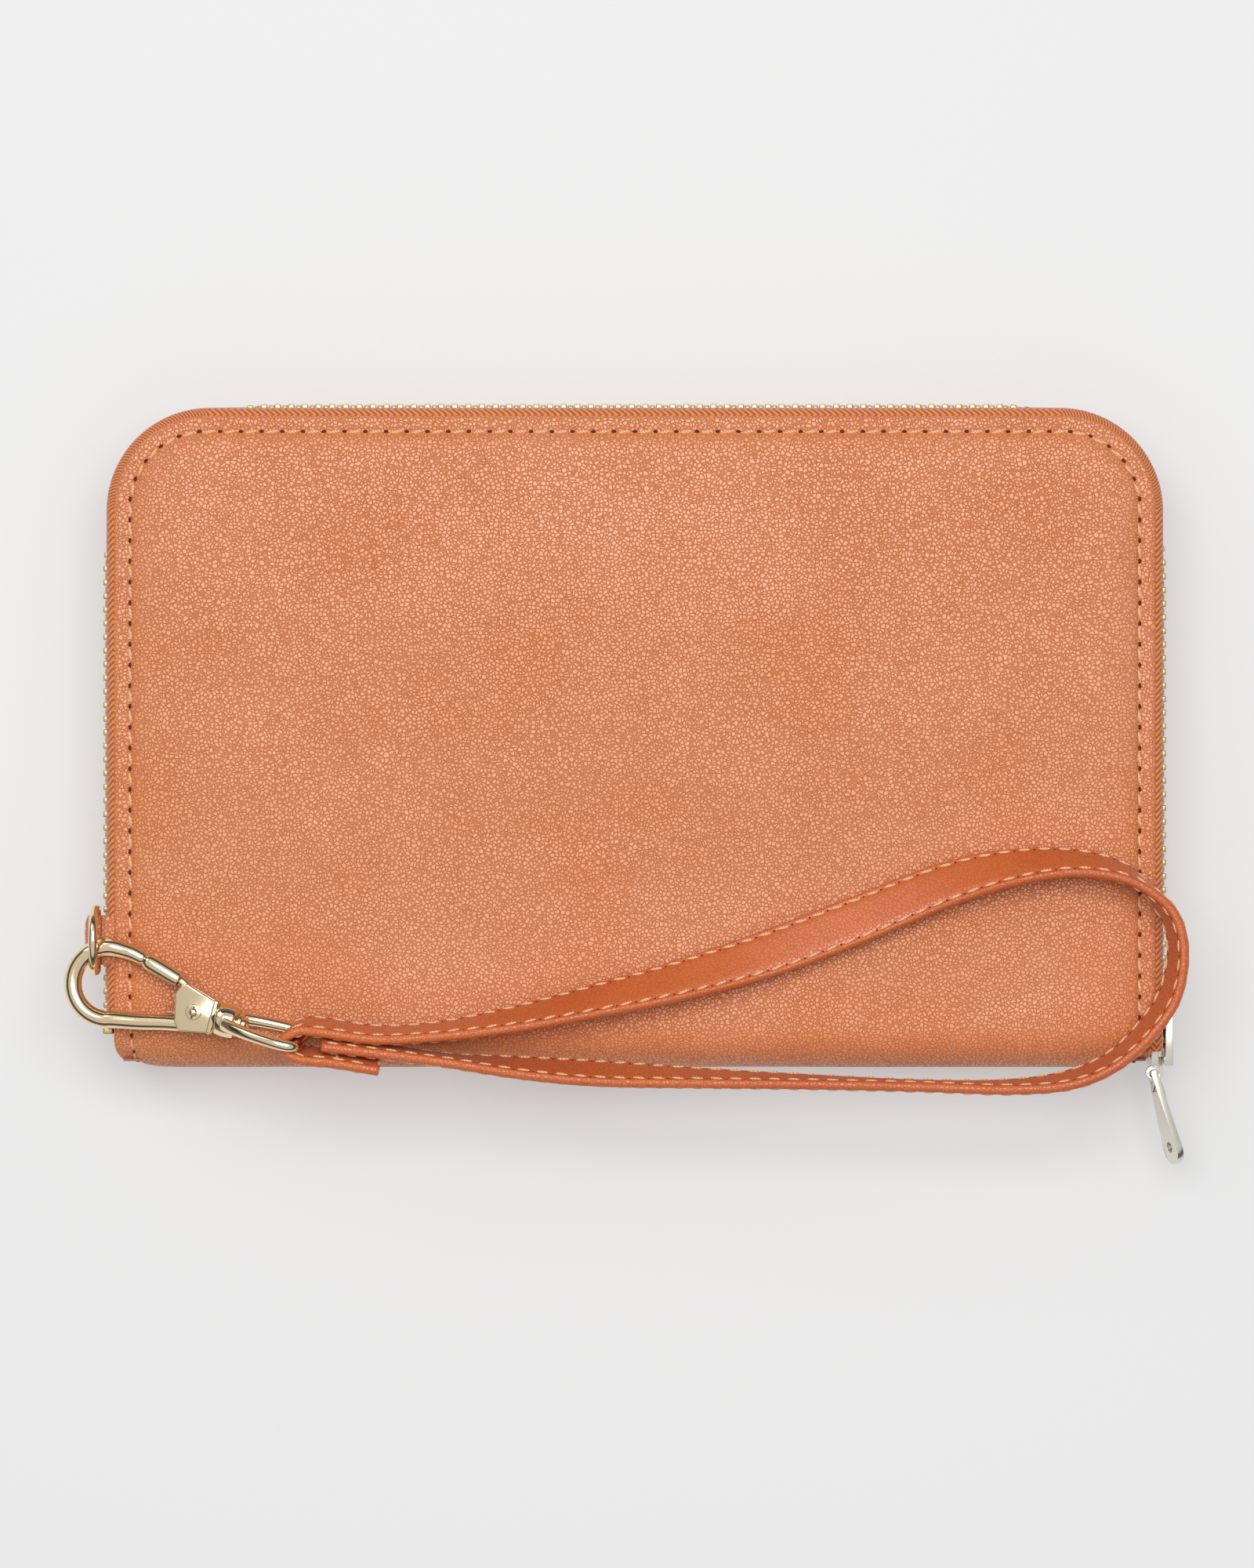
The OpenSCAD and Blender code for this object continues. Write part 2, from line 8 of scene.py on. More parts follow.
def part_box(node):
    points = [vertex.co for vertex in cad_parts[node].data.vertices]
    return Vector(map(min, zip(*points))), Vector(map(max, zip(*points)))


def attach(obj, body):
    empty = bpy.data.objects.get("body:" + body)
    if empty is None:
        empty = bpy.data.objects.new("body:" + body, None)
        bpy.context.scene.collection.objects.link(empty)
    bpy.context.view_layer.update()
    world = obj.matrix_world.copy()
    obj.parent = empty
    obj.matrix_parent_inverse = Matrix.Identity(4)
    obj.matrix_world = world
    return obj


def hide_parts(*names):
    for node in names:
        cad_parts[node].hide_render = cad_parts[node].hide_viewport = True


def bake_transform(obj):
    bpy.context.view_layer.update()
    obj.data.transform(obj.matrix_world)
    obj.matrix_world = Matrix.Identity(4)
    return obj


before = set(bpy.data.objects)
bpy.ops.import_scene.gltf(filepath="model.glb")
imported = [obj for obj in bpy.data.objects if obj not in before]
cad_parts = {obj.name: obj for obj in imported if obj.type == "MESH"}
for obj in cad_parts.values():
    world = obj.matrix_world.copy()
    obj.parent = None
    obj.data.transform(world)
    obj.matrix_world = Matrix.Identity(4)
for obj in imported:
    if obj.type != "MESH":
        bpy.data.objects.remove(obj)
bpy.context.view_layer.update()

mm = 0.001

# Places shared by the pieces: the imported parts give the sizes, and the radii repeat theirs
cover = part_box("front_cover")
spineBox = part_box("spine_cover")
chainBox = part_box("front_zip_teeth")
halfW = cover[1].x
topY = cover[1].y
thick = cover[1].z
midZ = thick / 2
spineY = spineBox[0].y
cornerR = 17 * mm
chainX = chainBox[1].x - 1 * mm
chainTop = topY + chainX - halfW
chainR = 30 * mm
chainEnd = {"right": spineY + 3 * mm, "left": spineY + 7.5 * mm}


def linear(hexCode):
    # sRGB hex to a linear colour, opaque
    parts = [int(hexCode[i:i + 2], 16) / 255 for i in (0, 2, 4)]
    return tuple(c / 12.92 if c <= 0.04045 else ((c + 0.055) / 1.055) ** 2.4 for c in parts) + (1.0,)


def addNode(tree, kind, values=None, links=None, **settings):
    node = tree.nodes.new(kind)
    for name, value in settings.items():
        setattr(node, name, value)
    for name, value in (values or {}).items():
        node.inputs[name].default_value = value
    for name, source in (links or {}).items():
        tree.links.new(source, node.inputs[name])
    return node


def newMaterial(name, values):
    mat = bpy.data.materials.new(name)
    mat.use_nodes = True
    shader = mat.node_tree.nodes["Principled BSDF"]
    for key, value in values.items():
        shader.inputs[key].default_value = value
    return mat, mat.node_tree, shader


def ramp(tree, source, stops):
    node = addNode(tree, "ShaderNodeValToRGB", links={"Fac": source})
    while len(node.color_ramp.elements) < len(stops):
        node.color_ramp.elements.new(0.5)
    for element, (place, colour) in zip(node.color_ramp.elements, stops):
        element.position = place
        element.color = colour
    return node.outputs["Color"]


def grey(value):
    return (value, value, value, 1)


# ---- materials

# the crease colour is painted shade for the creases of the grain
pebbled = {
    "burnished": "E89360", "deep": "E4884D", "creaseShade": "A94B18",
    "cell": 0.68 * mm, "mottle": 26 * mm, "relief": 0.12 * mm, "strength": 0.8,
}


def pebbledLeather(name="pebbledLeather", look=pebbled):
    # Calf pressed with a fine pebble and coated: the tops are burnished and shine, the creases stay matt, and
    # their colour is darkened with painted shade
    mat, tree, shader = newMaterial(name, {"IOR": 1.5, "Specular IOR Level": 0.75, "Sheen Weight": 0.08,
                                           "Sheen Roughness": 0.4})
    place = addNode(tree, "ShaderNodeTexCoord").outputs["Object"]
    wobble = addNode(tree, "ShaderNodeTexNoise", {"Scale": 1 / (1.6 * mm), "Detail": 2}, {"Vector": place})
    shifted = addNode(tree, "ShaderNodeVectorMath", {1: (0.6 * mm, 0.6 * mm, 0.6 * mm)},
                      {0: wobble.outputs["Color"], 2: place}, operation="MULTIPLY_ADD")
    cells = addNode(tree, "ShaderNodeTexVoronoi", {"Scale": 1 / look["cell"]}, {"Vector": shifted.outputs[0]},
                    feature="DISTANCE_TO_EDGE")
    small = addNode(tree, "ShaderNodeTexNoise", {"Scale": 1 / (0.45 * mm), "Detail": 2}, {"Vector": place})
    wide = addNode(tree, "ShaderNodeTexNoise", {"Scale": 1 / (3.5 * mm), "Detail": 3}, {"Vector": place})
    mottle = addNode(tree, "ShaderNodeTexNoise", {"Scale": 1 / look["mottle"], "Detail": 4}, {"Vector": place})
    dome = addNode(tree, "ShaderNodeMapRange", {"From Min": 0.0, "From Max": 0.17},
                   {"Value": cells.outputs["Distance"]}, interpolation_type="SMOOTHSTEP").outputs["Result"]
    rough = addNode(tree, "ShaderNodeMath", {1: 0.3}, {0: small.outputs["Fac"], 2: dome},
                    operation="MULTIPLY_ADD").outputs[0]
    height = addNode(tree, "ShaderNodeMath", {1: 0.5}, {0: wide.outputs["Fac"], 2: rough},
                     operation="MULTIPLY_ADD").outputs[0]
    bump = addNode(tree, "ShaderNodeBump", {"Strength": look["strength"], "Distance": look["relief"]},
                   {"Height": height})
    tree.links.new(bump.outputs["Normal"], shader.inputs["Normal"])
    tone = ramp(tree, mottle.outputs["Fac"], [(0.35, linear(look["deep"])), (0.65, linear(look["burnished"]))])
    # painted shade: towards the creases of the grain the base colour is mixed with the darker crease colour
    depth = addNode(tree, "ShaderNodeMapRange", {"To Min": 0.5, "To Max": 1.0}, {"Value": dome}).outputs["Result"]
    grainAndShade = addNode(tree, "ShaderNodeMix", {6: linear(look["creaseShade"])}, {0: depth, 7: tone}, data_type="RGBA")
    tree.links.new(grainAndShade.outputs[2], shader.inputs["Base Color"])
    gloss = addNode(tree, "ShaderNodeMapRange", {"To Min": 0.62, "To Max": 0.36}, {"Value": dome})
    tree.links.new(gloss.outputs["Result"], shader.inputs["Roughness"])
    return mat


def strapLeather():
    # The same hide, stretched round a folded strap, so the pebble is flatter and a little deeper in colour
    return pebbledLeather("strapLeather", {**pebbled, "burnished": "D96D2E", "deep": "CE6127", "strength": 0.35})


def sewingThread():
    # Bonded polyester thread, three plies twisted: fine diagonal ridges, soft shine
    mat, tree, shader = newMaterial("sewingThread", {"Roughness": 0.55, "Sheen Weight": 0.3})
    place = addNode(tree, "ShaderNodeTexCoord").outputs["Object"]
    ply = addNode(tree, "ShaderNodeTexWave", {"Scale": 1 / (0.9 * mm), "Distortion": 1.5}, {"Vector": place},
                  bands_direction="DIAGONAL")
    tone = ramp(tree, ply.outputs["Fac"], [(0.2, linear("DC9560")), (0.8, linear("F6CB9E"))])
    tree.links.new(tone, shader.inputs["Base Color"])
    bump = addNode(tree, "ShaderNodeBump", {"Strength": 0.4, "Distance": 0.05 * mm},
                   {"Height": ply.outputs["Fac"]})
    tree.links.new(bump.outputs["Normal"], shader.inputs["Normal"])
    return mat


def paintedHoleShade():
    # Needle holes drawn as dark matt discs: painted shade inside each hole
    return newMaterial("paintedHoleShade", {"Base Color": linear("551F0B"), "Roughness": 0.9})[0]


def zipTapeCloth():
    # Woven polyester tape, a herringbone of slanted ribs that turn every 2 mm across
    mat, tree, shader = newMaterial("zipTapeCloth", {"Roughness": 0.8, "Sheen Weight": 0.35})
    place = addNode(tree, "ShaderNodeUVMap", uv_map="along").outputs["UV"]
    split = addNode(tree, "ShaderNodeSeparateXYZ", links={0: place})
    fold = addNode(tree, "ShaderNodeMath", {1: 1.1}, {0: split.outputs["Y"]}, operation="PINGPONG")
    lean = addNode(tree, "ShaderNodeMath", links={0: split.outputs["X"], 1: fold.outputs[0]}, operation="ADD")
    wave = addNode(tree, "ShaderNodeMath", {1: 2 * math.pi / 1.0}, {0: lean.outputs[0]}, operation="MULTIPLY")
    rib = addNode(tree, "ShaderNodeMath", links={0: wave.outputs[0]}, operation="SINE")
    up = addNode(tree, "ShaderNodeMapRange", {"From Min": -1.0, "From Max": 1.0}, {"Value": rib.outputs[0]})
    tone = ramp(tree, up.outputs["Result"], [(0.1, linear("A8501F")), (0.7, linear("EA8C50"))])
    tree.links.new(tone, shader.inputs["Base Color"])
    bump = addNode(tree, "ShaderNodeBump", {"Strength": 0.8, "Distance": 0.15 * mm},
                   {"Height": up.outputs["Result"]})
    tree.links.new(bump.outputs["Normal"], shader.inputs["Normal"])
    return mat


def platedMetal(name, hexCode, roughness):
    # Zinc die casting, polished and plated: mirror-like, with faint unevenness left by polishing
    mat, tree, shader = newMaterial(name, {"Base Color": linear(hexCode), "Metallic": 1.0})
    place = addNode(tree, "ShaderNodeTexCoord").outputs["Object"]
    smear = addNode(tree, "ShaderNodeTexNoise", {"Scale": 1 / (3 * mm), "Detail": 3}, {"Vector": place})
    rough = addNode(tree, "ShaderNodeMapRange", {"To Min": roughness * 0.7, "To Max": roughness * 1.4},
                    {"Value": smear.outputs["Fac"]})
    tree.links.new(rough.outputs["Result"], shader.inputs["Roughness"])
    return mat


def liningCloth():
    # Satin polyester lining: fine plain weave, its threads drawn 0.6 mm wide so that they show
    mat, tree, shader = newMaterial("liningCloth", {"Roughness": 0.6, "Sheen Weight": 0.3})
    place = addNode(tree, "ShaderNodeTexCoord").outputs["Object"]
    warp = addNode(tree, "ShaderNodeTexWave", {"Scale": 1 / (4 * mm)}, {"Vector": place}, bands_direction="X")
    weft = addNode(tree, "ShaderNodeTexWave", {"Scale": 1 / (4 * mm)}, {"Vector": place}, bands_direction="Y")
    cross = addNode(tree, "ShaderNodeMath", links={0: warp.outputs["Fac"], 1: weft.outputs["Fac"]},
                    operation="MAXIMUM")
    tone = ramp(tree, cross.outputs[0], [(0.2, linear("A9684B")), (1.0, linear("B47352"))])
    tree.links.new(tone, shader.inputs["Base Color"])
    bump = addNode(tree, "ShaderNodeBump", {"Strength": 0.25, "Distance": 0.08 * mm},
                   {"Height": cross.outputs[0]})
    tree.links.new(bump.outputs["Normal"], shader.inputs["Normal"])
    return mat


def greyBoard():
    # Pressed bag board: matt, with short paper fibres
    mat, tree, shader = newMaterial("greyBoard", {"Roughness": 0.9})
    place = addNode(tree, "ShaderNodeTexCoord").outputs["Object"]
    fibre = addNode(tree, "ShaderNodeTexNoise", {"Scale": 1 / (1.2 * mm), "Detail": 6}, {"Vector": place})
    tone = ramp(tree, fibre.outputs["Fac"], [(0.35, linear("8D877E")), (0.65, linear("A39D93"))])
    tree.links.new(tone, shader.inputs["Base Color"])
    return mat


leather = pebbledLeather()
strapHide = strapLeather()
thread = sewingThread()
holeShadeMat = paintedHoleShade()
tapeCloth = zipTapeCloth()
paleGold = platedMetal("paleGoldPlate", "F3DDB6", 0.11)
silverPlate = platedMetal("silverPlate", "E2DED1", 0.22)
toothBrass = platedMetal("toothBrass", "DCC48C", 0.28)
lining = liningCloth()
board = greyBoard()
print("materials ready")


# ---- shared making steps

def deselectAll():
    if bpy.context.object and bpy.context.object.mode != "OBJECT":
        bpy.ops.object.mode_set(mode="OBJECT")
    bpy.ops.object.select_all(action="DESELECT")


def named(name, mat):
    piece = bpy.context.object
    piece.name = name
    piece.data.name = name
    piece.data.materials.clear()
    piece.data.materials.append(mat)
    return piece


def applyModifier(piece, kind, **settings):
    bpy.context.view_layer.objects.active = piece
    modifier = piece.modifiers.new(kind.title(), kind)
    for name, value in settings.items():
        setattr(modifier, name, value)
    bpy.ops.object.modifier_apply(modifier=modifier.name)


def breakEdges(piece, width, segments, angle=40):
    applyModifier(piece, "BEVEL", width=width, segments=segments, limit_method="ANGLE",
                  angle_limit=math.radians(angle))


def pickOnly(piece):
    deselectAll()
    piece.select_set(True)
    bpy.context.view_layer.objects.active = piece


def settle(piece, angle=40):
    # place goes into the mesh, and the faces are smoothed up to the given angle
    pickOnly(piece)
    bpy.ops.object.transform_apply(location=True, rotation=True, scale=True)
    bpy.ops.object.shade_smooth_by_angle(angle=math.radians(angle))
    return piece


def editAll(piece):
    pickOnly(piece)
    bpy.ops.object.mode_set(mode="EDIT")
    bpy.ops.mesh.select_all(action="SELECT")


def outward(piece):
    editAll(piece)
    bpy.ops.mesh.normals_make_consistent(inside=False)
    bpy.ops.object.mode_set(mode="OBJECT")


def closed(piece, gap):
    # a grid rolled into a tube: its seam and poles merged, its faces turned outwards
    editAll(piece)
    bpy.ops.mesh.remove_doubles(threshold=gap)
    bpy.ops.object.mode_set(mode="OBJECT")
    outward(piece)


def gridPiece(name, rows, mat):
    # a grid primitive whose points are moved to rows[j][i]
    rows = np.asarray(rows, float)
    high, wide = rows.shape[:2]
    deselectAll()
    bpy.ops.mesh.primitive_grid_add(x_subdivisions=wide - 1, y_subdivisions=high - 1, size=2)
    piece = named(name, mat)
    count = len(piece.data.vertices)
    places = np.empty(count * 3)
    piece.data.vertices.foreach_get("co", places)
    places = places.reshape(-1, 3)
    column = np.rint((places[:, 0] + 1) / 2 * (wide - 1)).astype(int)
    row = np.rint((places[:, 1] + 1) / 2 * (high - 1)).astype(int)
    piece.data.vertices.foreach_set("co", rows[row, column].ravel())
    piece.data.update()
    return piece, row, column


def uvFrom(piece, values):
    # one UV pair for each point, in millimetres
    layer = piece.data.uv_layers.new(name="along")
    loops = np.empty(len(piece.data.loops), int)
    piece.data.loops.foreach_get("vertex_index", loops)
    layer.data.foreach_set("uv", np.asarray(values, float)[loops].ravel())


def copiesOf(name, template, frames, mat):
    # one mesh made of a copy of template at each frame
    source = template.data
    base = np.empty(len(source.vertices) * 3)
    source.vertices.foreach_get("co", base)
    base = np.c_[base.reshape(-1, 3), np.ones(len(source.vertices))]
    faces = [tuple(p.vertices) for p in source.polygons]
    points = np.vstack([base @ np.array(f.transposed())[:, :3] for f in frames])
    step = len(source.vertices)
    allFaces = [tuple(v + k * step for v in face) for k in range(len(frames)) for face in faces]
    mesh = bpy.data.meshes.new(name)
    mesh.from_pydata(points.tolist(), [], allFaces)
    mesh.materials.append(mat)
    piece = bpy.data.objects.new(name, mesh)
    bpy.context.scene.collection.objects.link(piece)
    bpy.data.objects.remove(template)
    settle(piece, 50)
    return piece


def catmull(points, steps):
    # a smooth path through given points, whatever each point holds
    p = np.array([points[0]] + points + [points[-1]], float)
    out = []
    for k in range(1, len(p) - 2):
        for t in np.arange(steps) / steps:
            out.append(0.5 * (2 * p[k] + (p[k + 1] - p[k - 1]) * t
                              + (2 * p[k - 1] - 5 * p[k] + 4 * p[k + 1] - p[k + 2]) * t * t
                              + (3 * p[k] - p[k - 1] - 3 * p[k + 1] + p[k + 2]) * t ** 3))
    out.append(p[-2])
    return np.array(out)


def frameAt(place, along, up):
    # a frame whose X runs along and whose Z looks up
    along = Vector(along).normalized()
    side = Vector(up).cross(along).normalized()
    top = along.cross(side)
    return Matrix(((along.x, side.x, top.x, place[0]), (along.y, side.y, top.y, place[1]),
                   (along.z, side.z, top.z, place[2]), (0, 0, 0, 1)))


def turned(matrix, degrees, axis="Z"):
    return matrix @ Matrix.Rotation(math.radians(degrees), 4, axis)


def ridden(piece, body):
    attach(piece, body)
    return piece


def cadCopy(name, node, mat, bevel, segments=2):
    # a finished copy of a plain part: merged, its flat faces joined, and its edges broken
    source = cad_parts[node]
    piece = bpy.data.objects.new(name, source.data.copy())
    bpy.context.scene.collection.objects.link(piece)
    piece.data.materials.clear()
    piece.data.materials.append(mat)
    editAll(piece)
    bpy.ops.mesh.remove_doubles(threshold=0.002 * mm)
    bpy.ops.mesh.dissolve_limited(angle_limit=math.radians(1))
    bpy.ops.object.mode_set(mode="OBJECT")
    if bevel:
        breakEdges(piece, bevel, segments)
    settle(piece)
    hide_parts(node)
    return piece


# ---- covers: each is one hide from the middle of the spine, over the fold, to its zip edge

hide = {
    "rollR": 7 * mm, "edgeDrop": 1.75 * mm, "edgeR": 0.8 * mm, "seamIn": 3 * mm, "beadDrop": 1.05 * mm,
    "rise": 8 * mm, "groove": 0.45 * mm, "grooveW": 0.5 * mm, "crown": 0.5 * mm, "thick": 1.2 * mm,
    "taper": 1.9 * mm, "taperFrom": 4.5 * mm, "ripple": 0.16 * mm, "calmFrom": 4 * mm, "calmOver": 8 * mm,
    "panelOver": 12 * mm, "columns": 150,
    # soft dents: x, y, turn in degrees, half length, half width, depth
    "dents": [(-37, 8, 60, 13, 3, 0.16), (-49, -6, 55, 11, 3, 0.14), (63, 8, 58, 12, 3, 0.12),
              (30, 30, 20, 16, 5, 0.1), (-10, -20, 10, 20, 5, 0.1), (86, -36, -58, 12, 5, 0.45),
              (70, -50, 10, 16, 4, 0.25)],
}


def seamProfile(d):
    # depth of the surface below the crown line, at a distance d from the edge
    edge = hide["edgeR"] * np.sqrt(np.clip(1 - (1 - np.clip(d / hide["edgeR"], 0, 1)) ** 2, 0, 1))
    z = -hide["edgeDrop"] + edge * (hide["edgeDrop"] - hide["beadDrop"]) / hide["edgeR"]
    t = np.clip((d - 2 * mm) / hide["rise"], 0, 1)
    z = z + hide["beadDrop"] * (1 - (1 - t) ** 2.4)
    return z - hide["groove"] * np.exp(-((d - hide["seamIn"]) / hide["grooveW"]) ** 2)


def edgeDistance(x, y, half):
    cornerX, cornerY = half - cornerR, topY - cornerR
    inCorner = (np.abs(x) > cornerX) & (y > cornerY)
    round_ = cornerR - np.hypot(np.abs(x) - cornerX, y - cornerY)
    return np.maximum(np.where(inCorner, round_, np.minimum(half - np.abs(x), topY - y)), 0)


def puff(x, y):
    # crown and handling marks of a padded cover
    swell = hide["crown"] * np.clip(1 - (x / halfW) ** 2, 0, 1) * np.clip((y + 28 * mm) / (50 * mm), 0, 1)
    swell = swell * np.clip((topY - y) / (22 * mm), 0, 1) ** 0.8
    for dx, dy, turn, long, wide, deep in hide["dents"]:
        c, s = math.cos(math.radians(turn)), math.sin(math.radians(turn))
        u = ((x - dx * mm) * c + (y - dy * mm) * s) / (long * mm)
        v = ((y - dy * mm) * c - (x - dx * mm) * s) / (wide * mm)
        swell = swell - deep * mm * np.exp(-u * u - v * v) * v * 1.6
    return swell


def ripple(x, y):
    flat = [noise.noise(Vector((a * 45, b * 60, 3.7))) + 0.5 * noise.noise(Vector((a * 110, b * 130, 9.1)))
            for a, b in zip(x.ravel(), y.ravel())]
    return hide["ripple"] * np.array(flat).reshape(x.shape)


def coverRows():
    # profile from the middle of the spine to the zip edge: y, z, and the direction out of the hide
    roll = hide["rollR"]
    flat = [(spineY, z, -1, 0) for z in np.linspace(midZ, thick - roll, 7)[:-1]]
    bend = [(spineY + roll - roll * math.cos(a), thick - roll + roll * math.sin(a), -math.cos(a), math.sin(a))
            for a in np.linspace(0, math.pi / 2, 14)]
    plain = [(y, thick, 0, 1) for y in np.linspace(spineY + roll, topY - cornerR, 92)[1:]]
    corner = [(topY - cornerR + cornerR * math.sin(a), thick, 0, 1) for a in np.linspace(0, math.pi / 2, 34)[1:]]
    return np.array(flat + bend + plain + corner)


def sideAt(y):
    # the side edge turns in a little at the spine
    low = np.clip((spineY + hide["taperFrom"] - y) / hide["taperFrom"], 0, 1)
    return halfW - hide["taper"] * (1 - np.sqrt(1 - 0.96 * low * low))


def halfWidthAt(y):
    # the side edge, with the zip corners rounded off
    rise = np.clip(y - (topY - cornerR), 0, cornerR)
    return sideAt(y) - cornerR + np.sqrt(np.maximum(cornerR ** 2 - rise ** 2, 0))


# columns of points in from each side edge, in mm, close together at the bead and at the groove of the seam
edgeSteps = [0, 0.05, 0.2, 0.45, 0.75, 1.1, 1.5, 1.9, 2.25, 2.5, 2.75, 3, 3.25, 3.5, 3.8, 4.2, 4.8, 5.6, 6.6,
             8, 10]


def bendOver(piece, front):
    # the piece's placement is baked into its mesh, alike for front and back
    if front:
        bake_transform(piece)
    else:
        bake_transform(piece)


def makeHide(name, front):
    rows = coverRows()
    half = halfWidthAt(rows[:, 0])[:, None]
    side = np.array(edgeSteps) * mm
    inner = np.linspace(-1, 1, hide["columns"])[1:-1]
    x = np.hstack([-half + side, inner * (half - side[-1]), (half - side)[:, ::-1]])
    y0, z0, ny, nz = (np.broadcast_to(rows[:, k:k + 1], x.shape) for k in range(4))
    d = edgeDistance(x, y0, sideAt(rows[:, 0])[:, None])
    lift = seamProfile(d)
    panel = np.clip((y0 - spineY - hide["rollR"]) / hide["panelOver"], 0, 1)
    calm = np.clip((d - hide["calmFrom"]) / hide["calmOver"], 0, 1)
    lift = lift + calm * (puff(x, y0) * panel + ripple(x, y0 + z0) * (0.3 + 0.7 * panel))
    if not front:
        lift = np.minimum(lift, 0)  # the back lies on the table, pressed flat
    y, z = y0 + ny * lift, z0 + nz * lift
    if not front:
        z = thick - z
    grid = np.stack([x, y, z], axis=2)
    piece = gridPiece(name, grid if front else grid[:, ::-1], leather)[0]
    outwardTest(piece, front)
    applyModifier(piece, "SOLIDIFY", thickness=hide["thick"], offset=-1, use_rim=True)
    settle(piece, 60)
    bendOver(piece, front)
    return piece


def outwardTest(piece, front):
    # the first face of the grid has to look out of the wallet
    face = max(piece.data.polygons, key=lambda p: p.center.y)
    if (face.normal.z > 0) != front:
        piece.data.flip_normals()


frontHide = makeHide("frontHide", True)
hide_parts("front_cover", "spine_cover")
backHide = makeHide("backHide", False)
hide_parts("back_cover")
print("covers made")


# ---- seam round each cover

seam = {"pitch": 3.77 * mm, "long": 2.3 * mm, "wide": 0.62 * mm, "high": 0.5 * mm, "slant": 9, "lift": 0.1 * mm,
        "holeShadeR": 0.52 * mm, "holeShadeLift": 0.02 * mm, "turnIn": 1.1 * mm}


def seamFrames(pitch):
    # from the left end of the spine fold, up, round both corners and down again, at seamIn from the edge
    inset = hide["seamIn"]
    roll = hide["rollR"]
    radius = cornerR - inset
    left = -halfW + inset
    bendLen, sideLen = roll * math.pi / 2, topY - cornerR - spineY - roll
    cornerLen, topLen = radius * math.pi / 2, 2 * (halfW - cornerR)
    total = 2 * (bendLen + sideLen + cornerLen) + topLen
    count = round(total / pitch)
    level = thick + float(seamProfile(np.array(inset)))
    frames = []
    for k in range(count + 1):
        s = total * k / count
        mirrored = s > total / 2
        s = total - s if mirrored else s
        if s < bendLen:
            a = s / roll
            reach = roll + level - thick
            place = Vector((left + seam["turnIn"] * (1 - s / bendLen), spineY + roll - reach * math.cos(a),
                            thick - roll + reach * math.sin(a)))
            along, up = Vector((0, math.sin(a), math.cos(a))), Vector((0, -math.cos(a), math.sin(a)))
        elif s < bendLen + sideLen:
            place = Vector((left, spineY + roll + s - bendLen, level))
            along, up = Vector((0, 1, 0)), Vector((0, 0, 1))
        elif s < bendLen + sideLen + cornerLen:
            a = (s - bendLen - sideLen) / radius
            place = Vector((-halfW + cornerR - radius * math.cos(a),
                            topY - cornerR + radius * math.sin(a), level))
            along, up = Vector((math.sin(a), math.cos(a), 0)), Vector((0, 0, 1))
        else:
            place = Vector((-halfW + cornerR + s - bendLen - sideLen - cornerLen, topY - inset, level))
            along, up = Vector((1, 0, 0)), Vector((0, 0, 1))
        if mirrored:
            place.x, along.y, along.z = -place.x, -along.y, -along.z
        frames.append((place, along, up))
    return frames


def bead(name, mat, segments, rings, radius, size):
    # a ball drawn out or pressed flat, to be copied along a seam
    deselectAll()
    bpy.ops.mesh.primitive_uv_sphere_add(segments=segments, ring_count=rings, radius=radius)
    piece = named(name, mat)
    piece.scale = size
    bpy.ops.object.transform_apply(location=False, rotation=False, scale=True)
    return piece


def threadStitch(look):
    return bead("stitch", thread, 10, 6, 0.5, (look["long"], look["wide"], look["high"]))


def holeShadeDisc(radius):
    # a flat dark disc of painted shade for one needle hole
    return bead("hole", holeShadeMat, 8, 4, radius, (1, 0.8, 0.35))


def makeSeam(front):
    side = "front" if front else "back"
    stitches, holeShadeFrames = [], []
    for place, along, up in seamFrames(seam["pitch"]):
        gap = place + along * seam["pitch"] / 2
        if not front:
            place, gap = (Vector((p.x, p.y, thick - p.z)) for p in (place, gap))
            along, up = Vector((along.x, along.y, -along.z)), Vector((up.x, up.y, -up.z))
        stitches.append(turned(frameAt(place + up * seam["lift"], along, up), seam["slant"]))
        # a dark disc of painted shade at each needle hole, between the stitches
        holeShadeFrames.append(frameAt(gap + up * seam["holeShadeLift"], along, up))
    for piece in (copiesOf(side + "SeamThread", threadStitch(seam), stitches, thread),
                  copiesOf(side + "SeamHoleShades", holeShadeDisc(seam["holeShadeR"]), holeShadeFrames[:-1], holeShadeMat)):
        bendOver(piece, front)


makeSeam(True)
makeSeam(False)
print("cover seams sewn")


# ---- zip: tape, teeth, stops

def chainPlace(s, out=0.0):
    # place and direction at a distance s from the right end of the chain, moved outwards by out
    cornerY = chainTop - chainR
    rightLen, bendLen = cornerY - chainEnd["right"], math.pi * chainR / 2
    topLen = 2 * (chainX - chainR)
    radius = chainR + out
    if s < rightLen:
        return Vector((chainX + out, chainEnd["right"] + s, 0)), Vector((0, 1, 0))
    s -= rightLen
    if s < bendLen:
        a = s / chainR
        return (Vector((chainX - chainR + radius * math.cos(a), cornerY + radius * math.sin(a), 0)),
                Vector((-math.sin(a), math.cos(a), 0)))
    s -= bendLen
    if s < topLen:
        return Vector((chainX - chainR - s, chainTop + out, 0)), Vector((-1, 0, 0))
    s -= topLen
    if s < bendLen:
        a = math.pi / 2 + s / chainR
        return (Vector((chainR - chainX + radius * math.cos(a), cornerY + radius * math.sin(a), 0)),
                Vector((-math.sin(a), math.cos(a), 0)))
    s -= bendLen
    return Vector((-chainX - out, cornerY - s, 0)), Vector((0, -1, 0))


chainLen = (2 * (chainTop - chainR) - chainEnd["right"] - chainEnd["left"] + math.pi * chainR
            + 2 * (chainX - chainR))
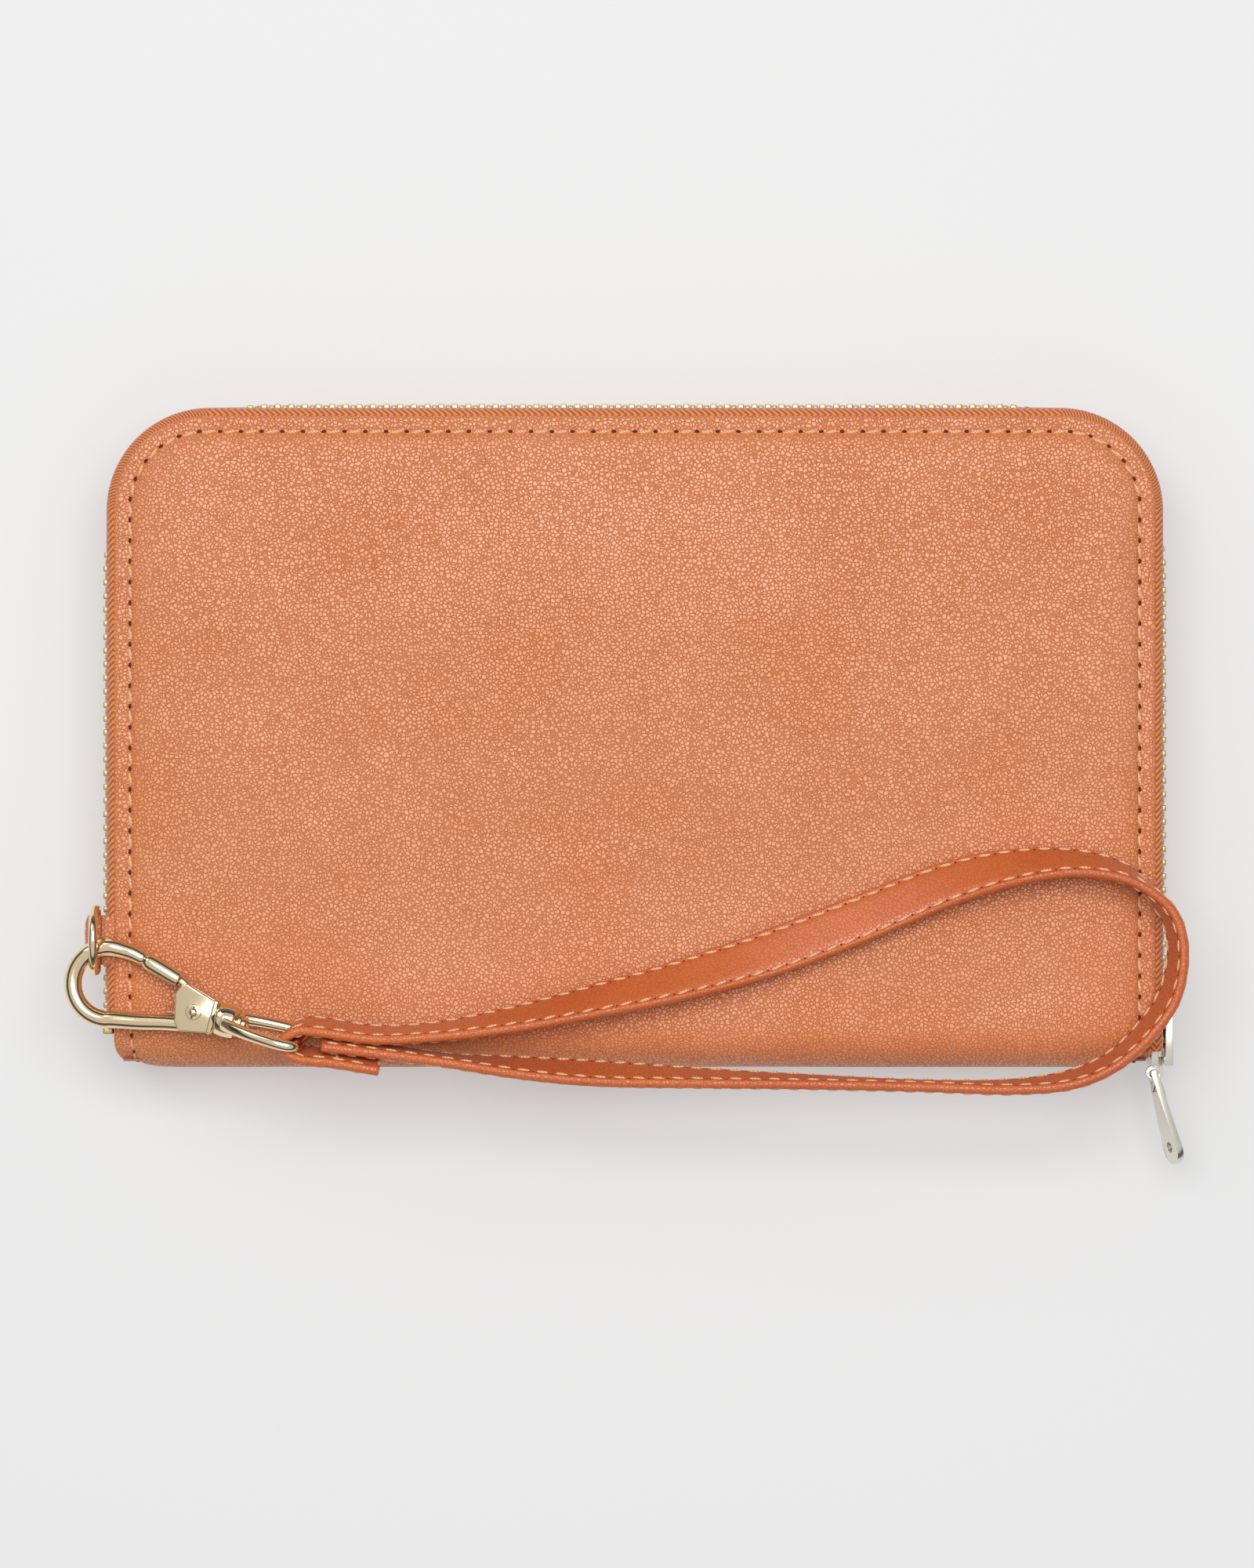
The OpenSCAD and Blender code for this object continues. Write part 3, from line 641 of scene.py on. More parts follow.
# steps across the tape, in mm: out from the leather's edge, height, and how far it has turned to follow the chain
tape = {"thick": 0.5 * mm, "rows": 420,
        "across": [(-5.4, 22.15, 0), (-2.4, 22.15, 0), (-0.8, 22.15, 0), (0, 22.1, 0), (0.6, 21.8, 0),
                   (1.05, 21.2, 0), (1.25, 20.2, 0.03), (1.3, 19, 0.15), (1.35, 18, 0.35), (1.4, 17, 0.6),
                   (1.5, 16, 0.85), (1.6, 15.2, 1)]}


def edgePlace(s, out):
    # the point of the leather's edge, moved out, that lies across from a distance s along the chain
    cornerY = chainTop - chainR
    rightLen, bendLen = cornerY - chainEnd["right"], math.pi * chainR / 2
    radius = cornerR + out
    left = s > rightLen + bendLen + (chainX - chainR)
    if left:
        s = chainLen - s
        rightLen = cornerY - chainEnd["left"]
    low = chainEnd["left"] if left else chainEnd["right"]
    if s < rightLen:
        point = Vector((halfW + out, low + s * (topY - cornerR - low) / rightLen, 0))
    elif s < rightLen + bendLen:
        a = (s - rightLen) / chainR
        point = Vector((halfW - cornerR + radius * math.cos(a), topY - cornerR + radius * math.sin(a), 0))
    else:
        rest = (s - rightLen - bendLen) / (chainX - chainR)
        point = Vector(((halfW - cornerR) * (1 - rest), topY + out, 0))
    if left:
        point.x = -point.x
    return point


def makeTape(name, body, front):
    steps = [(o * mm, z * mm, t) for o, z, t in tape["across"]]
    run = np.r_[0, np.cumsum([math.dist(a[:2], b[:2]) for a, b in zip(steps, steps[1:])])]
    places = np.linspace(0, chainLen, tape["rows"])
    rows = []
    for s in places:
        rows.append([])
        for out, z, turn in steps:
            point = edgePlace(s, out).lerp(chainPlace(s)[0], turn)
            rows[-1].append((point.x, point.y, z if front else thick - z))
    piece, row, column = gridPiece(name, rows, tapeCloth)
    uvFrom(piece, np.c_[places[row] / mm, run[column] / mm])
    applyModifier(piece, "SOLIDIFY", thickness=tape["thick"], offset=0, use_rim=True)
    outward(piece)
    settle(piece, 60)
    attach(piece, body)
    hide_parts(body + "_zip_tape")


teeth = {"pitch": 2.5 * mm, "foot": 3.2 * mm, "leg": (1.15 * mm, 1.8 * mm, 2.3 * mm), "neck": 0.45 * mm,
         "head": 0.75 * mm, "round": 0.2 * mm}


def makeTooth():
    # a clamped leg and a narrower rounded head, standing along +Z
    deselectAll()
    bpy.ops.mesh.primitive_cube_add(size=1)
    piece = named("tooth", toothBrass)
    piece.scale = teeth["leg"]
    piece.location.z = teeth["leg"][2] / 2
    bpy.ops.object.transform_apply(location=True, rotation=False, scale=True)
    bpy.ops.object.mode_set(mode="EDIT")
    bpy.ops.mesh.select_mode(type="FACE")
    bpy.ops.mesh.select_all(action="DESELECT")
    bpy.ops.object.mode_set(mode="OBJECT")
    for face in piece.data.polygons:
        face.select = face.normal.z > 0.9
    bpy.ops.object.mode_set(mode="EDIT")
    bpy.ops.mesh.extrude_region_move(TRANSFORM_OT_translate={"value": (0, 0, teeth["neck"])})
    bpy.ops.transform.resize(value=(0.72, 0.8, 1))
    bpy.ops.mesh.extrude_region_move(TRANSFORM_OT_translate={"value": (0, 0, teeth["head"])})
    bpy.ops.transform.resize(value=(1.1, 1.05, 1))
    bpy.ops.object.mode_set(mode="OBJECT")
    breakEdges(piece, teeth["round"], 2, 30)
    return piece


def makeTeeth(name, body, shift, front):
    count = math.floor(chainLen / teeth["pitch"]) - 1
    frames = []
    for k in range(count):
        place, along = chainPlace((k + shift) * teeth["pitch"])
        place.z = midZ + teeth["foot"] if front else midZ - teeth["foot"]
        frames.append(frameAt(place, along, (0, 0, -1 if front else 1)))
    piece = copiesOf(name, makeTooth(), frames, toothBrass)
    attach(piece, body)
    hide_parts(body + "_zip_teeth")


makeTape("backTape", "back", False)
makeTape("frontTape", "front", True)
makeTeeth("backTeeth", "back", 0.25, False)
makeTeeth("frontTeeth", "front", 0.75, True)
for side in ("back", "front"):
    stop = cadCopy(side + "Stop", side + "_zip_stop", toothBrass, 0.3 * mm, 3)
    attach(stop, side)
print("zip made")


# ---- metal of the zips: sliders and pulls with broken edges, the outer pull hanging a little twisted

ridden(cadCopy("zipSlider", "zip_slider", silverPlate, 0.35 * mm, 3), "slider")
pull = {"pivot": (95.4 * mm, -60.9 * mm, 12 * mm), "lean": 14.6, "twist": -20, "from": 1.0 * mm, "to": 3.5 * mm}


def hungPull():
    # the plate hangs a little turned about its own length, by the play of its eye
    piece = cadCopy("zipPull", "zip_pull", silverPlate, 0.3 * mm, 3)
    pivot = Vector(pull["pivot"])
    lean = math.radians(pull["lean"])
    down = Vector((math.sin(lean), -math.cos(lean), 0))
    for vertex in piece.data.vertices:
        reach = (vertex.co - pivot).dot(down)
        share = min(max((reach - pull["from"]) / (pull["to"] - pull["from"]), 0), 1)
        turn = Matrix.Rotation(math.radians(pull["twist"]) * share, 4, down)
        vertex.co = pivot + turn @ (vertex.co - pivot)
    piece.data.update()
    ridden(settle(piece), "pull")


hungPull()
ridden(cadCopy("coinSlider", "coin_zip_slider", paleGold, 0.25 * mm, 2), "coin_slider")
ridden(cadCopy("coinPull", "coin_zip_pull", paleGold, 0.25 * mm, 2), "coin_pull")
print("sliders made")


# ---- clasp: a cast hook with a sprung gate, on a swivel eye

# its parts are drawn in mm in a frame of their own: X runs from the bow to the strap, Z looks up
clasp = {"at": (-76.3 * mm, -50 * mm, 28.75 * mm), "tilt": -8.6, "turn": -14.5, "bow": (-20.6, 1), "bowR": 6.6,
         "wire": 1.55, "cheekZ": 1.65, "cheekThick": 0.55, "eyeLean": 14}
pin = {"x": -3.5, "reach": 2.5, "r": 0.85, "headR": 1.45, "headHigh": 0.5, "headZ": 2.42, "slotShadeZ": 2.66}
claspFrame = turned(turned(Matrix.Translation(clasp["at"]), clasp["turn"]), clasp["tilt"], "Y")


def rodPiece(name, path, mat, stand, sides=20, ring=False):
    # a cast rod along a path of x, y, z (mm), radius in the plane, radius across it
    path = np.asarray(path, float)
    mid = path[:, :3]
    along = np.gradient(mid, axis=0)
    if ring:
        along = np.roll(mid, -1, axis=0) - np.roll(mid, 1, axis=0)
    along /= np.linalg.norm(along, axis=1)[:, None]
    up = np.tile([0.0, 0.0, 1.0], (len(mid), 1))
    side = np.cross(up, along)
    side /= np.linalg.norm(side, axis=1)[:, None]
    up = np.cross(along, side)
    turn = np.linspace(0, 2 * math.pi, sides + 1)
    rings = (mid[:, None, :] + side[:, None, :] * (path[:, 3, None] * np.cos(turn))[:, :, None]
             + up[:, None, :] * (path[:, 4, None] * np.sin(turn))[:, :, None])
    if ring:
        rings = np.concatenate([rings, rings[:1]])
    else:
        caps = []
        for end, sign in ((0, -1), (-1, 1)):
            r = min(path[end, 3], path[end, 4])
            way = along[end] * sign * r * 0.7
            caps.append([mid[end] + (rings[end] - mid[end]) * math.cos(a) + way * math.sin(a)
                         for a in (0.4, 0.8, 1.15, math.pi / 2)])
        rings = np.concatenate([np.array(caps[0][::-1]), rings, np.array(caps[1])])
    flat = np.c_[rings.reshape(-1, 3) * mm, np.ones(rings.shape[0] * rings.shape[1])] @ np.array(stand).T
    piece = gridPiece(name, flat[:, :3].reshape(rings.shape), mat)[0]
    closed(piece, 0.003 * mm)
    return settle(piece, 60)


def joined(name, pieces):
    deselectAll()
    for piece in pieces:
        piece.select_set(True)
    bpy.context.view_layer.objects.active = pieces[0]
    bpy.ops.object.join()
    pieces[0].name = name
    pieces[0].data.name = name
    return pieces[0]


def arc(centre, radius, start, end, steps, *rest):
    turns = [math.radians(a) for a in np.linspace(start, end, steps)]
    return [(centre[0] + radius * math.cos(a), centre[1] + radius * math.sin(a), *rest) for a in turns]


def plateBlock(name, outline, halfThick, mat, stand, bevel):
    # a flat cast cheek: its outline filled, pulled to its thickness, edges rounded
    deselectAll()
    bpy.ops.mesh.primitive_circle_add(vertices=len(outline), radius=1, fill_type="NGON")
    piece = named(name, mat)
    for vertex, (x, y) in zip(piece.data.vertices, outline):
        vertex.co = (x * mm, y * mm, -halfThick * mm)
    bpy.ops.object.mode_set(mode="EDIT")
    bpy.ops.mesh.select_all(action="SELECT")
    bpy.ops.mesh.extrude_region_move(TRANSFORM_OT_translate={"value": (0, 0, 2 * halfThick * mm)})
    bpy.ops.mesh.select_all(action="SELECT")
    bpy.ops.mesh.normals_make_consistent(inside=False)
    bpy.ops.object.mode_set(mode="OBJECT")
    breakEdges(piece, bevel * mm, 4, 30)
    piece.data.transform(stand)
    return settle(piece, 40)


def makeHook():
    r = clasp["wire"]
    bow, bowR = clasp["bow"], clasp["bowR"]
    path = [(-5.2, -2.55, 0, r * 0.95, r), (-9, -3.3, 0, r * 0.95, r), (-13.5, -4.3, 0, r, r)]
    path += arc(bow, bowR, 292, 98, 15, 0, r * 1.05, r * 1.05)
    path += [(-19.6, 7.55, 0, r, r), (-17.6, 7.45, 0, r * 0.95, r), (-15.6, 7.0, 0, r * 0.85, r * 0.9)]
    wire = rodPiece("claspHook", catmull(path, 5), paleGold, claspFrame)
    # two cheeks hold the gate between them, on a solid heel with a collar
    cheek = [(-7.7, 2.7), (-6.9, 4.3), (-6, 4.8), (-0.4, 3), (0.3, 3), (0.3, -2.9), (-5.4, -4), (-6.6, -2.6)]
    heel = [(-1.3, 2.9), (0.45, 2.9), (0.45, -2.9), (-5.2, -3.8), (-6.2, -2.6), (-1.3, -1.6)]
    collar = [(-0.5, 3.15), (0.55, 3.15), (0.55, -3.15), (-0.5, -3.15)]
    parts = [wire]
    for z in (-clasp["cheekZ"], clasp["cheekZ"]):
        stand = claspFrame @ Matrix.Translation((0, 0, z * mm))
        parts.append(plateBlock("cheek", cheek, clasp["cheekThick"], paleGold, stand, 0.3))
    parts.append(plateBlock("heel", heel, 2.0, paleGold, claspFrame, 0.25))
    parts.append(plateBlock("collar", collar, 2.3, paleGold, claspFrame, 0.35))
    piece = joined("claspHook", parts)
    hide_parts("clasp_hook")
    ridden(piece, "hook")


def makeGate():
    # a narrow arm round the pin, then a fuller tongue that closes the bow
    path = [(-3.5, 0, 0, 1.3, 0.85), (-5.2, 2.6, 0, 1.0, 0.85), (-6.7, 4.3, 0, 0.95, 0.85),
            (-7.6, 4.75, 0, 0.95, 0.9), (-8.1, 4.9, 0, 1.35, 1.3), (-9, 5.15, 0, 1.5, 1.4),
            (-12, 6.0, 0, 1.6, 1.5), (-14.2, 6.6, 0, 1.55, 1.45), (-15.0, 6.85, 0, 1.2, 1.2)]
    piece = rodPiece("claspGate", catmull(path, 5), paleGold, claspFrame)
    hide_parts("clasp_gate")
    ridden(piece, "gate")


def makePin():
    # a peened pin; the slot left by its driver is drawn as a thin dark plate on each head: painted shade, not a
    # cut
    x, r = pin["x"], pin["r"]
    shank = [(x, 0, -pin["reach"], r, r), (x, 0.001, pin["reach"], r, r)]
    slotShadeOutline = [(-0.16, -1.15), (0.16, -1.15), (0.16, 1.15), (-0.16, 1.15)]
    parts = [rodPiece("gatePin", shank, paleGold, claspFrame, 16)]
    for end in (-1, 1):
        deselectAll()
        bpy.ops.mesh.primitive_cylinder_add(vertices=32, radius=pin["headR"] * mm, depth=pin["headHigh"] * mm,
                                            location=(0, 0, 0))
        head = named("pinHead", paleGold)
        breakEdges(head, 0.18 * mm, 3)
        head.data.transform(claspFrame @ Matrix.Translation((x * mm, 0, end * pin["headZ"] * mm)))
        parts.append(settle(head))
        stand = claspFrame @ Matrix.Translation((x * mm, 0, end * pin["slotShadeZ"] * mm))
        # painted shade: a thin dark plate lies on the head where the driver's slot would be
        parts.append(plateBlock("pinSlotShade", slotShadeOutline, 0.05, holeShadeMat, stand, 0.02))
    piece = joined("gatePin", parts)
    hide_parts("gate_pin")
    ridden(piece, "hook")


def turnedPost():
    # swivel post: a turned neck with two collars
    profile = [(-1.2, 1.15), (0.4, 1.15), (4.35, 1.15), (4.5, 1.3), (4.6, 1.95), (4.8, 2.15), (5.2, 2.15),
               (5.4, 1.95), (5.5, 1.35), (5.75, 1.3), (5.9, 1.5), (6.1, 1.45), (6.25, 1.1), (6.3, 0.5)]
    path = [(a, 0, 0, r, r) for a, r in profile]
    piece = rodPiece("swivelPost", path, paleGold, claspFrame, 32)
    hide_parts("swivel_post")
    ridden(piece, "hook")


def makeEye():
    toSide = turned(turned(claspFrame, clasp["eyeLean"], "X"), 90, "X")
    # barrel: turned collar, waisted, hollow for the post
    profile = [(0.62, 2.5), (0.7, 2.85), (1.0, 3.05), (2.4, 3.1), (3.6, 3.0), (4.0, 2.9), (4.25, 2.6), (4.3, 1.4)]
    barrel = rodPiece("swivelEye", [(a, 0, 0, r, r) for a, r in profile], paleGold, toSide, 36)
    path = [(2.6, 2.6, 0, 1.05, 1.25), (4.6, 3.75, 0, 1.05, 1.2), (8, 5.0, 0, 1.05, 1.1),
            (12, 5.75, 0, 1.05, 1.05), (14.6, 5.8, 0, 1.05, 1.05), (16.1, 5.3, 0, 1.0, 1.0),
            (16.6, 4.2, 0, 1.0, 1.0), (16.6, 2, 0, 1.0, 1.0), (16.6, 0, 0, 1.0, 1.0)]
    path += [(p[0], -p[1], 0, p[3], p[4]) for p in path[-2::-1]]
    bail = rodPiece("bail", catmull(path, 5), paleGold, toSide)
    piece = joined("swivelEye", [barrel, bail])
    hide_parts("swivel_eye")
    ridden(piece, "eye")


def makeRing():
    # a bent wire D: a straight leg in the tab, two tight corners and a bow
    low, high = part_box("d_ring")
    middle = Matrix.Translation(((low.x + high.x) / 2, (low.y + high.y) / 2, low.z + 0.8 * mm))
    stand = turned(turned(middle, 90), 90, "X")
    r, leg, wire = 5.7, 2.9, 0.82
    path = [(a, 0, 0, wire, wire) for a in (-4.6, -2.3, 0, 2.3, 4.6)]
    path += arc((4.9, 0.8), 0.8, -90, 0, 4, 0, wire, wire) + [(r, 1.9, 0, wire, wire)]
    path += arc((0, leg), r, 0, 180, 25, 0, wire, wire) + [(-r, 1.9, 0, wire, wire)]
    path += arc((-4.9, 0.8), 0.8, 180, 270, 4, 0, wire, wire)
    piece = rodPiece("dRing", path, paleGold, stand, 16, True)
    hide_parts("d_ring")
    ridden(piece, "ring")


makeHook()
makeGate()
makePin()
turnedPost()
makeEye()
makeRing()
ridden(cadCopy("gateSpring", "gate_spring", silverPlate, 0.06 * mm, 1), "hook")
print("clasp made")


# ---- wrist strap: x, y, z of its middle, and how far its width leans to x and y

strapRoute = [
    (-56.5, -54.3, 31.2, 0, -0.24), (-46, -56, 30.4, 0, -0.12), (-34, -57.8, 29.2, 0, -0.08),
    (-20, -59.2, 28.9, -0.02, -0.3), (-6, -60.2, 28.9, -0.01, -0.37), (12, -61, 28.9, -0.02, -0.22),
    (32, -61.7, 28.9, -0.01, -0.09), (52, -62.4, 28.9, 0, -0.02), (68, -62.6, 28.9, 0, -0.1),
    (79, -61.3, 28.9, 0.05, -0.2), (87, -57.8, 28.9, 0.11, -0.2), (93.3, -51.8, 28.9, 0.17, -0.22),
    (97.2, -45.5, 28.9, 0.24, -0.15), (98.5, -38, 28.9, 0.22, 0.02), (97.2, -32, 28.9, 0.13, 0.15),
    (93.5, -27.3, 28.9, 0, 0), (88, -23.6, 28.9, -0.11, -0.27), (79, -22, 28.8, -0.03, -0.47),
    (68, -23, 28.2, 0.1, -0.68), (56, -26.2, 27.3, 0.19, -0.85), (40, -32.6, 26.9, 0.26, -0.9),
    (24, -38.6, 27.1, 0.26, -0.87), (8, -43.4, 28, 0.25, -0.72), (-8, -47.3, 28.7, 0.17, -0.55),
    (-22, -50.4, 29, 0.1, -0.38), (-36, -52.6, 29.4, 0.02, -0.22), (-47, -53.1, 30.3, -0.06, -0.2),
    (-56, -51.8, 31.1, -0.15, -0.2), (-60.5, -51.7, 31.2, -0.2, -0.2), (-63, -54.1, 30.85, -0.2, -0.2),
    (-60.5, -56.5, 31.2, -0.2, -0.2), (-54, -57.3, 31, -0.13, -0.22), (-46.5, -58.7, 30.6, -0.05, -0.2),
]
strap = {"wide": 9 * mm, "thick": 2 * mm, "round": 0.75 * mm, "rowIn": 1.05 * mm, "pitch": 3.5 * mm,
         "long": 2.3 * mm, "threadW": 0.55 * mm, "threadH": 0.45 * mm, "groove": 0.22 * mm, "grooveW": 0.45 * mm,
         "crown": 0.1 * mm, "slant": 7, "holeShadeR": 0.22 * mm, "threadLift": 0.12 * mm, "barLift": 0.05 * mm,
         "bars": (-54.0 * mm, -46.0 * mm), "barSteps": (-2.2, 0, 2.2)}

strapFine = catmull(strapRoute, 8)
strapMid = strapFine[:, :3] * mm
strapLean = strapFine[:, 3:5]
strapWide = np.c_[strapLean, np.sqrt(1 - (strapLean ** 2).sum(1))]
strapAlong = np.gradient(strapMid, axis=0)
strapAlong /= np.linalg.norm(strapAlong, axis=1)[:, None]
strapWide -= (strapWide * strapAlong).sum(1)[:, None] * strapAlong
strapWide /= np.linalg.norm(strapWide, axis=1)[:, None]
strapFace = np.cross(strapAlong, strapWide)
strapRun = np.r_[0, np.cumsum(np.linalg.norm(np.diff(strapMid, axis=0), axis=1))]


def strapSection():
    # a folded and sewn strip: rounded edges, a shallow groove under each row of stitches, a slight crown
    half, thick, r = strap["wide"] / 2, strap["thick"] / 2, strap["round"]
    side = []
    for a in np.linspace(-half + r, half - r, 21):
        row = half - abs(a) - strap["rowIn"]
        dip = strap["groove"] * math.exp(-(row / strap["grooveW"]) ** 2)
        side.append((a, thick - dip - strap["crown"] * (a / half) ** 2))
    end = [(half - r + r * math.cos(t), (thick - strap["crown"]) * math.sin(t))
           for t in np.linspace(1.3, -1.3, 7)]
    bottom = [(-a, -b) for a, b in side]
    other = [(-a, -b) for a, b in end]
    return np.array(side + end + bottom + other)


def makeStrap():
    section = strapSection()
    rings = (strapMid[:, None, :] + section[None, :, :1] * strapWide[:, None, :]
             + section[None, :, 1:] * strapFace[:, None, :])
    rings = np.concatenate([rings, rings[:, :1]], axis=1)
    # closed ends, rounded over a little
    for end, inner in ((0, 1), (-1, -2)):
        way = strapAlong[end] * (-1 if end == 0 else 1)
        middle = rings[end].mean(0)
        cap = [rings[end] * (1 - k) + middle * k + way * o * mm for k, o in ((0.12, 0.25), (0.5, 0.3), (1, 0.3))]
        rings = np.concatenate([np.array(cap[::-1]), rings] if end == 0 else [rings, np.array(cap)])
    piece = gridPiece("wristStrap", rings, strapHide)[0]
    closed(piece, 0.01 * mm)
    settle(piece, 70)
    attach(piece, "strap")
    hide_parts("wrist_strap")


def strapAt(s):
    # middle, direction, width and face of the strap at a distance s along it
    return [np.array([np.interp(s, strapRun, column[:, k]) for k in range(3)])
            for column in (strapMid, strapAlong, strapWide, strapFace)]


def makeStrapSeams():
    stitches, holeShadeFrames = [], []
    offset = strap["wide"] / 2 - strap["rowIn"]
    count = int(strapRun[-1] / strap["pitch"])
    level = strap["thick"] / 2 - strap["groove"]
    for row in (-1, 1):
        for face in (-1, 1):
            for k in range(count):
                mid, along, wide, out = strapAt((k + 0.5) * strap["pitch"])
                place = mid + wide * row * offset + out * face * (level + strap["threadLift"])
                stitches.append(turned(frameAt(place, along, out * face), strap["slant"] * row * face))
                mid, along, wide, out = strapAt((k + 1) * strap["pitch"])
                # a dark disc of painted shade at each needle hole
                holeShadeFrames.append(frameAt(mid + wide * row * offset + out * face * level, along, out * face))
    look = {"long": strap["long"], "wide": strap["threadW"], "high": strap["threadH"]}
    for piece in (copiesOf("strapThread", threadStitch(look), stitches, thread),
                  copiesOf("strapHoleShades", holeShadeDisc(strap["holeShadeR"]), holeShadeFrames, holeShadeMat)):
        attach(piece, "strap")
    # the loose end and the return are sewn through together with two bars across
    bars = []
    rise = strap["thick"] / 2 + strap["barLift"]
    last = int(strapMid[:, 0].argmin())  # where the strap turns round the eye
    for x in strap["bars"]:
        near = min(range(last, len(strapMid)), key=lambda k: abs(strapMid[k][0] - x))
        for step in strap["barSteps"]:
            for out in (strapFace[near], -strapFace[near]):
                place = strapMid[near] + strapWide[near] * step * mm + out * rise
                bars.append(frameAt(place, strapWide[near], out))
    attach(copiesOf("strapBars", threadStitch(look), bars, thread), "strap")


makeStrap()
makeStrapSeams()
print("strap made")


# ---- ring tab: a soft folded loop, puffed where it turns round the bar

tab = {"from": -98.4 * mm, "to": -90.4 * mm, "y": -36.2 * mm, "z": 19.6 * mm, "r": 2.1 * mm, "wide": 9 * mm,
       "bore": 0.9 * mm, "tongue": 21.9 * mm, "tongueThick": 1.3 * mm, "tongueIn": 1.2 * mm, "squeeze": 0.28,
       "stitches": (-2.6 * mm, 1.2 * mm), "thread": {"long": 2.2 * mm, "wide": 0.55 * mm, "high": 0.45 * mm}}


def makeTab():
    # round the bar as a thick fold, with its tongue going in under the cover
    def ringRow(share, radius):
        return [(tab["from"] + radius * math.cos(a), tab["y"] + share * tab["wide"] / 2,
                 tab["z"] + radius * math.sin(a)) for a in np.linspace(0, 2 * math.pi, 41)]

    rows = [ringRow(-0.97, tab["bore"])]
    rows += [ringRow(s, tab["r"] * (1 - tab["squeeze"] * abs(s) ** 5)) for s in np.linspace(-1, 1, 25)]
    rows += [ringRow(0.97, tab["bore"])]
    piece = gridPiece("ringTab", rows + [rows[0]], leather)[0]
    closed(piece, 0.01 * mm)
    settle(piece, 60)
    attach(piece, "front")
    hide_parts("ring_tab")
    deselectAll()
    middle = (tab["from"] + tab["to"] + tab["tongueIn"]) / 2
    bpy.ops.mesh.primitive_cube_add(size=1, location=(middle, tab["y"], tab["tongue"]))
    tongue = named("tabTongue", leather)
    tongue.scale = (tab["to"] - tab["from"] - tab["tongueIn"], tab["wide"] - 0.2 * mm, tab["tongueThick"])
    bpy.ops.object.transform_apply(location=True, rotation=False, scale=True)
    bpy.ops.object.mode_set(mode="EDIT")
    bpy.ops.mesh.subdivide(number_cuts=5)
    bpy.ops.object.mode_set(mode="OBJECT")
    breakEdges(tongue, 0.35 * mm, 3)
    settle(tongue, 60)
    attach(tongue, "front")
    x, level = tab["from"] + 0.1 * mm, tab["z"] + tab["r"] + 0.02 * mm
    frames = [frameAt((x, tab["y"] + step, level), (0.1, 1, 0), (0, 0, 1)) for step in tab["stitches"]]
    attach(copiesOf("tabThread", threadStitch(tab["thread"]), frames, thread), "front")


makeTab()
print("ring tab made")


# ---- inside: boards, linings, card slots, coin pocket, gussets

for side in ("back", "front"):
    ridden(cadCopy(side + "Board", side + "_board", board, 0.2 * mm, 1), side)
    ridden(cadCopy(side + "Lining", side + "_lining", lining, 0.25 * mm, 2), side)

slots = {"edgeIn": 2.2 * mm, "sideIn": 3 * mm, "pitch": 3.2 * mm,
         "thread": {"long": 2.0 * mm, "wide": 0.5 * mm, "high": 0.35 * mm}}


def slotStitches(side, k):
    low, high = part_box(side + "_card_slot_" + str(k))
    face = high.z if side == "back" else low.z
    out = 1 if side == "back" else -1
    start, run = low.x + slots["sideIn"], high.x - low.x - 2 * slots["sideIn"]
    count = int(run / slots["pitch"])
    frames = [frameAt((start + run * i / count, high.y - slots["edgeIn"], face), (1, 0.1, 0), (0, 0, out))
              for i in range(count + 1)]
    piece = copiesOf(side + "SlotThread" + str(k), threadStitch(slots["thread"]), frames, thread)
    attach(piece, side)


for side in ("back", "front"):
    for k in (1, 2, 3, 4):
        card = cadCopy(side + "CardSlot" + str(k), side + "_card_slot_" + str(k), leather, 0.2 * mm, 2)
        ridden(card, side)
        slotStitches(side, k)

for name, node, mat, bevel, segments, slot in (
        ("spineLining", "spine_lining", lining, 0.1, 1, "lining"),
        ("coinBackWall", "coin_pocket_back_wall", lining, 0.2, 2, "lining"),
        ("coinFrontWall", "coin_pocket_front_wall", lining, 0.2, 2, "lining"),
        ("coinTape", "coin_zip_tape", lining, 0.1, 1, "zip_tape"),
        ("coinTeeth", "coin_zip_teeth", toothBrass, 0.15, 1, "pale_gold")):
    ridden(cadCopy(name, node, mat, bevel * mm, segments), "spine")
print("inside made")


gusset = {"thick": 0.55 * mm, "inset": 0.3 * mm, "belly": 0.35 * mm, "wave": 180}


def makeGusset(half, side):
    # a soft cloth wing folded in between two covers, bellied a little
    node = "gusset_" + half + "_" + side
    low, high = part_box(node)
    sign = 1 if side == "right" else -1
    footX = max(abs(low.x), abs(high.x)) - gusset["inset"]
    foldX = min(abs(low.x), abs(high.x)) + gusset["inset"]
    rows = []
    for y in np.linspace(low.y, high.y, 30):
        rows.append([])
        for t in np.linspace(0, 1, 14):
            belly = gusset["belly"] * math.sin(math.pi * t) * math.sin(y * gusset["wave"])
            z = low.z + (high.z - low.z) * t
            away = t if half == "back" else 1 - t
            rows[-1].append((sign * (footX + (foldX - footX) * away + belly), y, z))
    piece = gridPiece("gusset" + half.title() + side.title(), rows, lining)[0]
    applyModifier(piece, "SOLIDIFY", thickness=gusset["thick"], offset=0, use_rim=True)
    outward(piece)
    settle(piece, 60)
    if half == "back":
        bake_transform(piece)
    else:
        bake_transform(piece)
    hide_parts(node)


for half in ("back", "front"):
    for side in ("left", "right"):
        makeGusset(half, side)
print("gussets made")


# ---- studio: pale floor, a large overhead softbox, a camera straight above

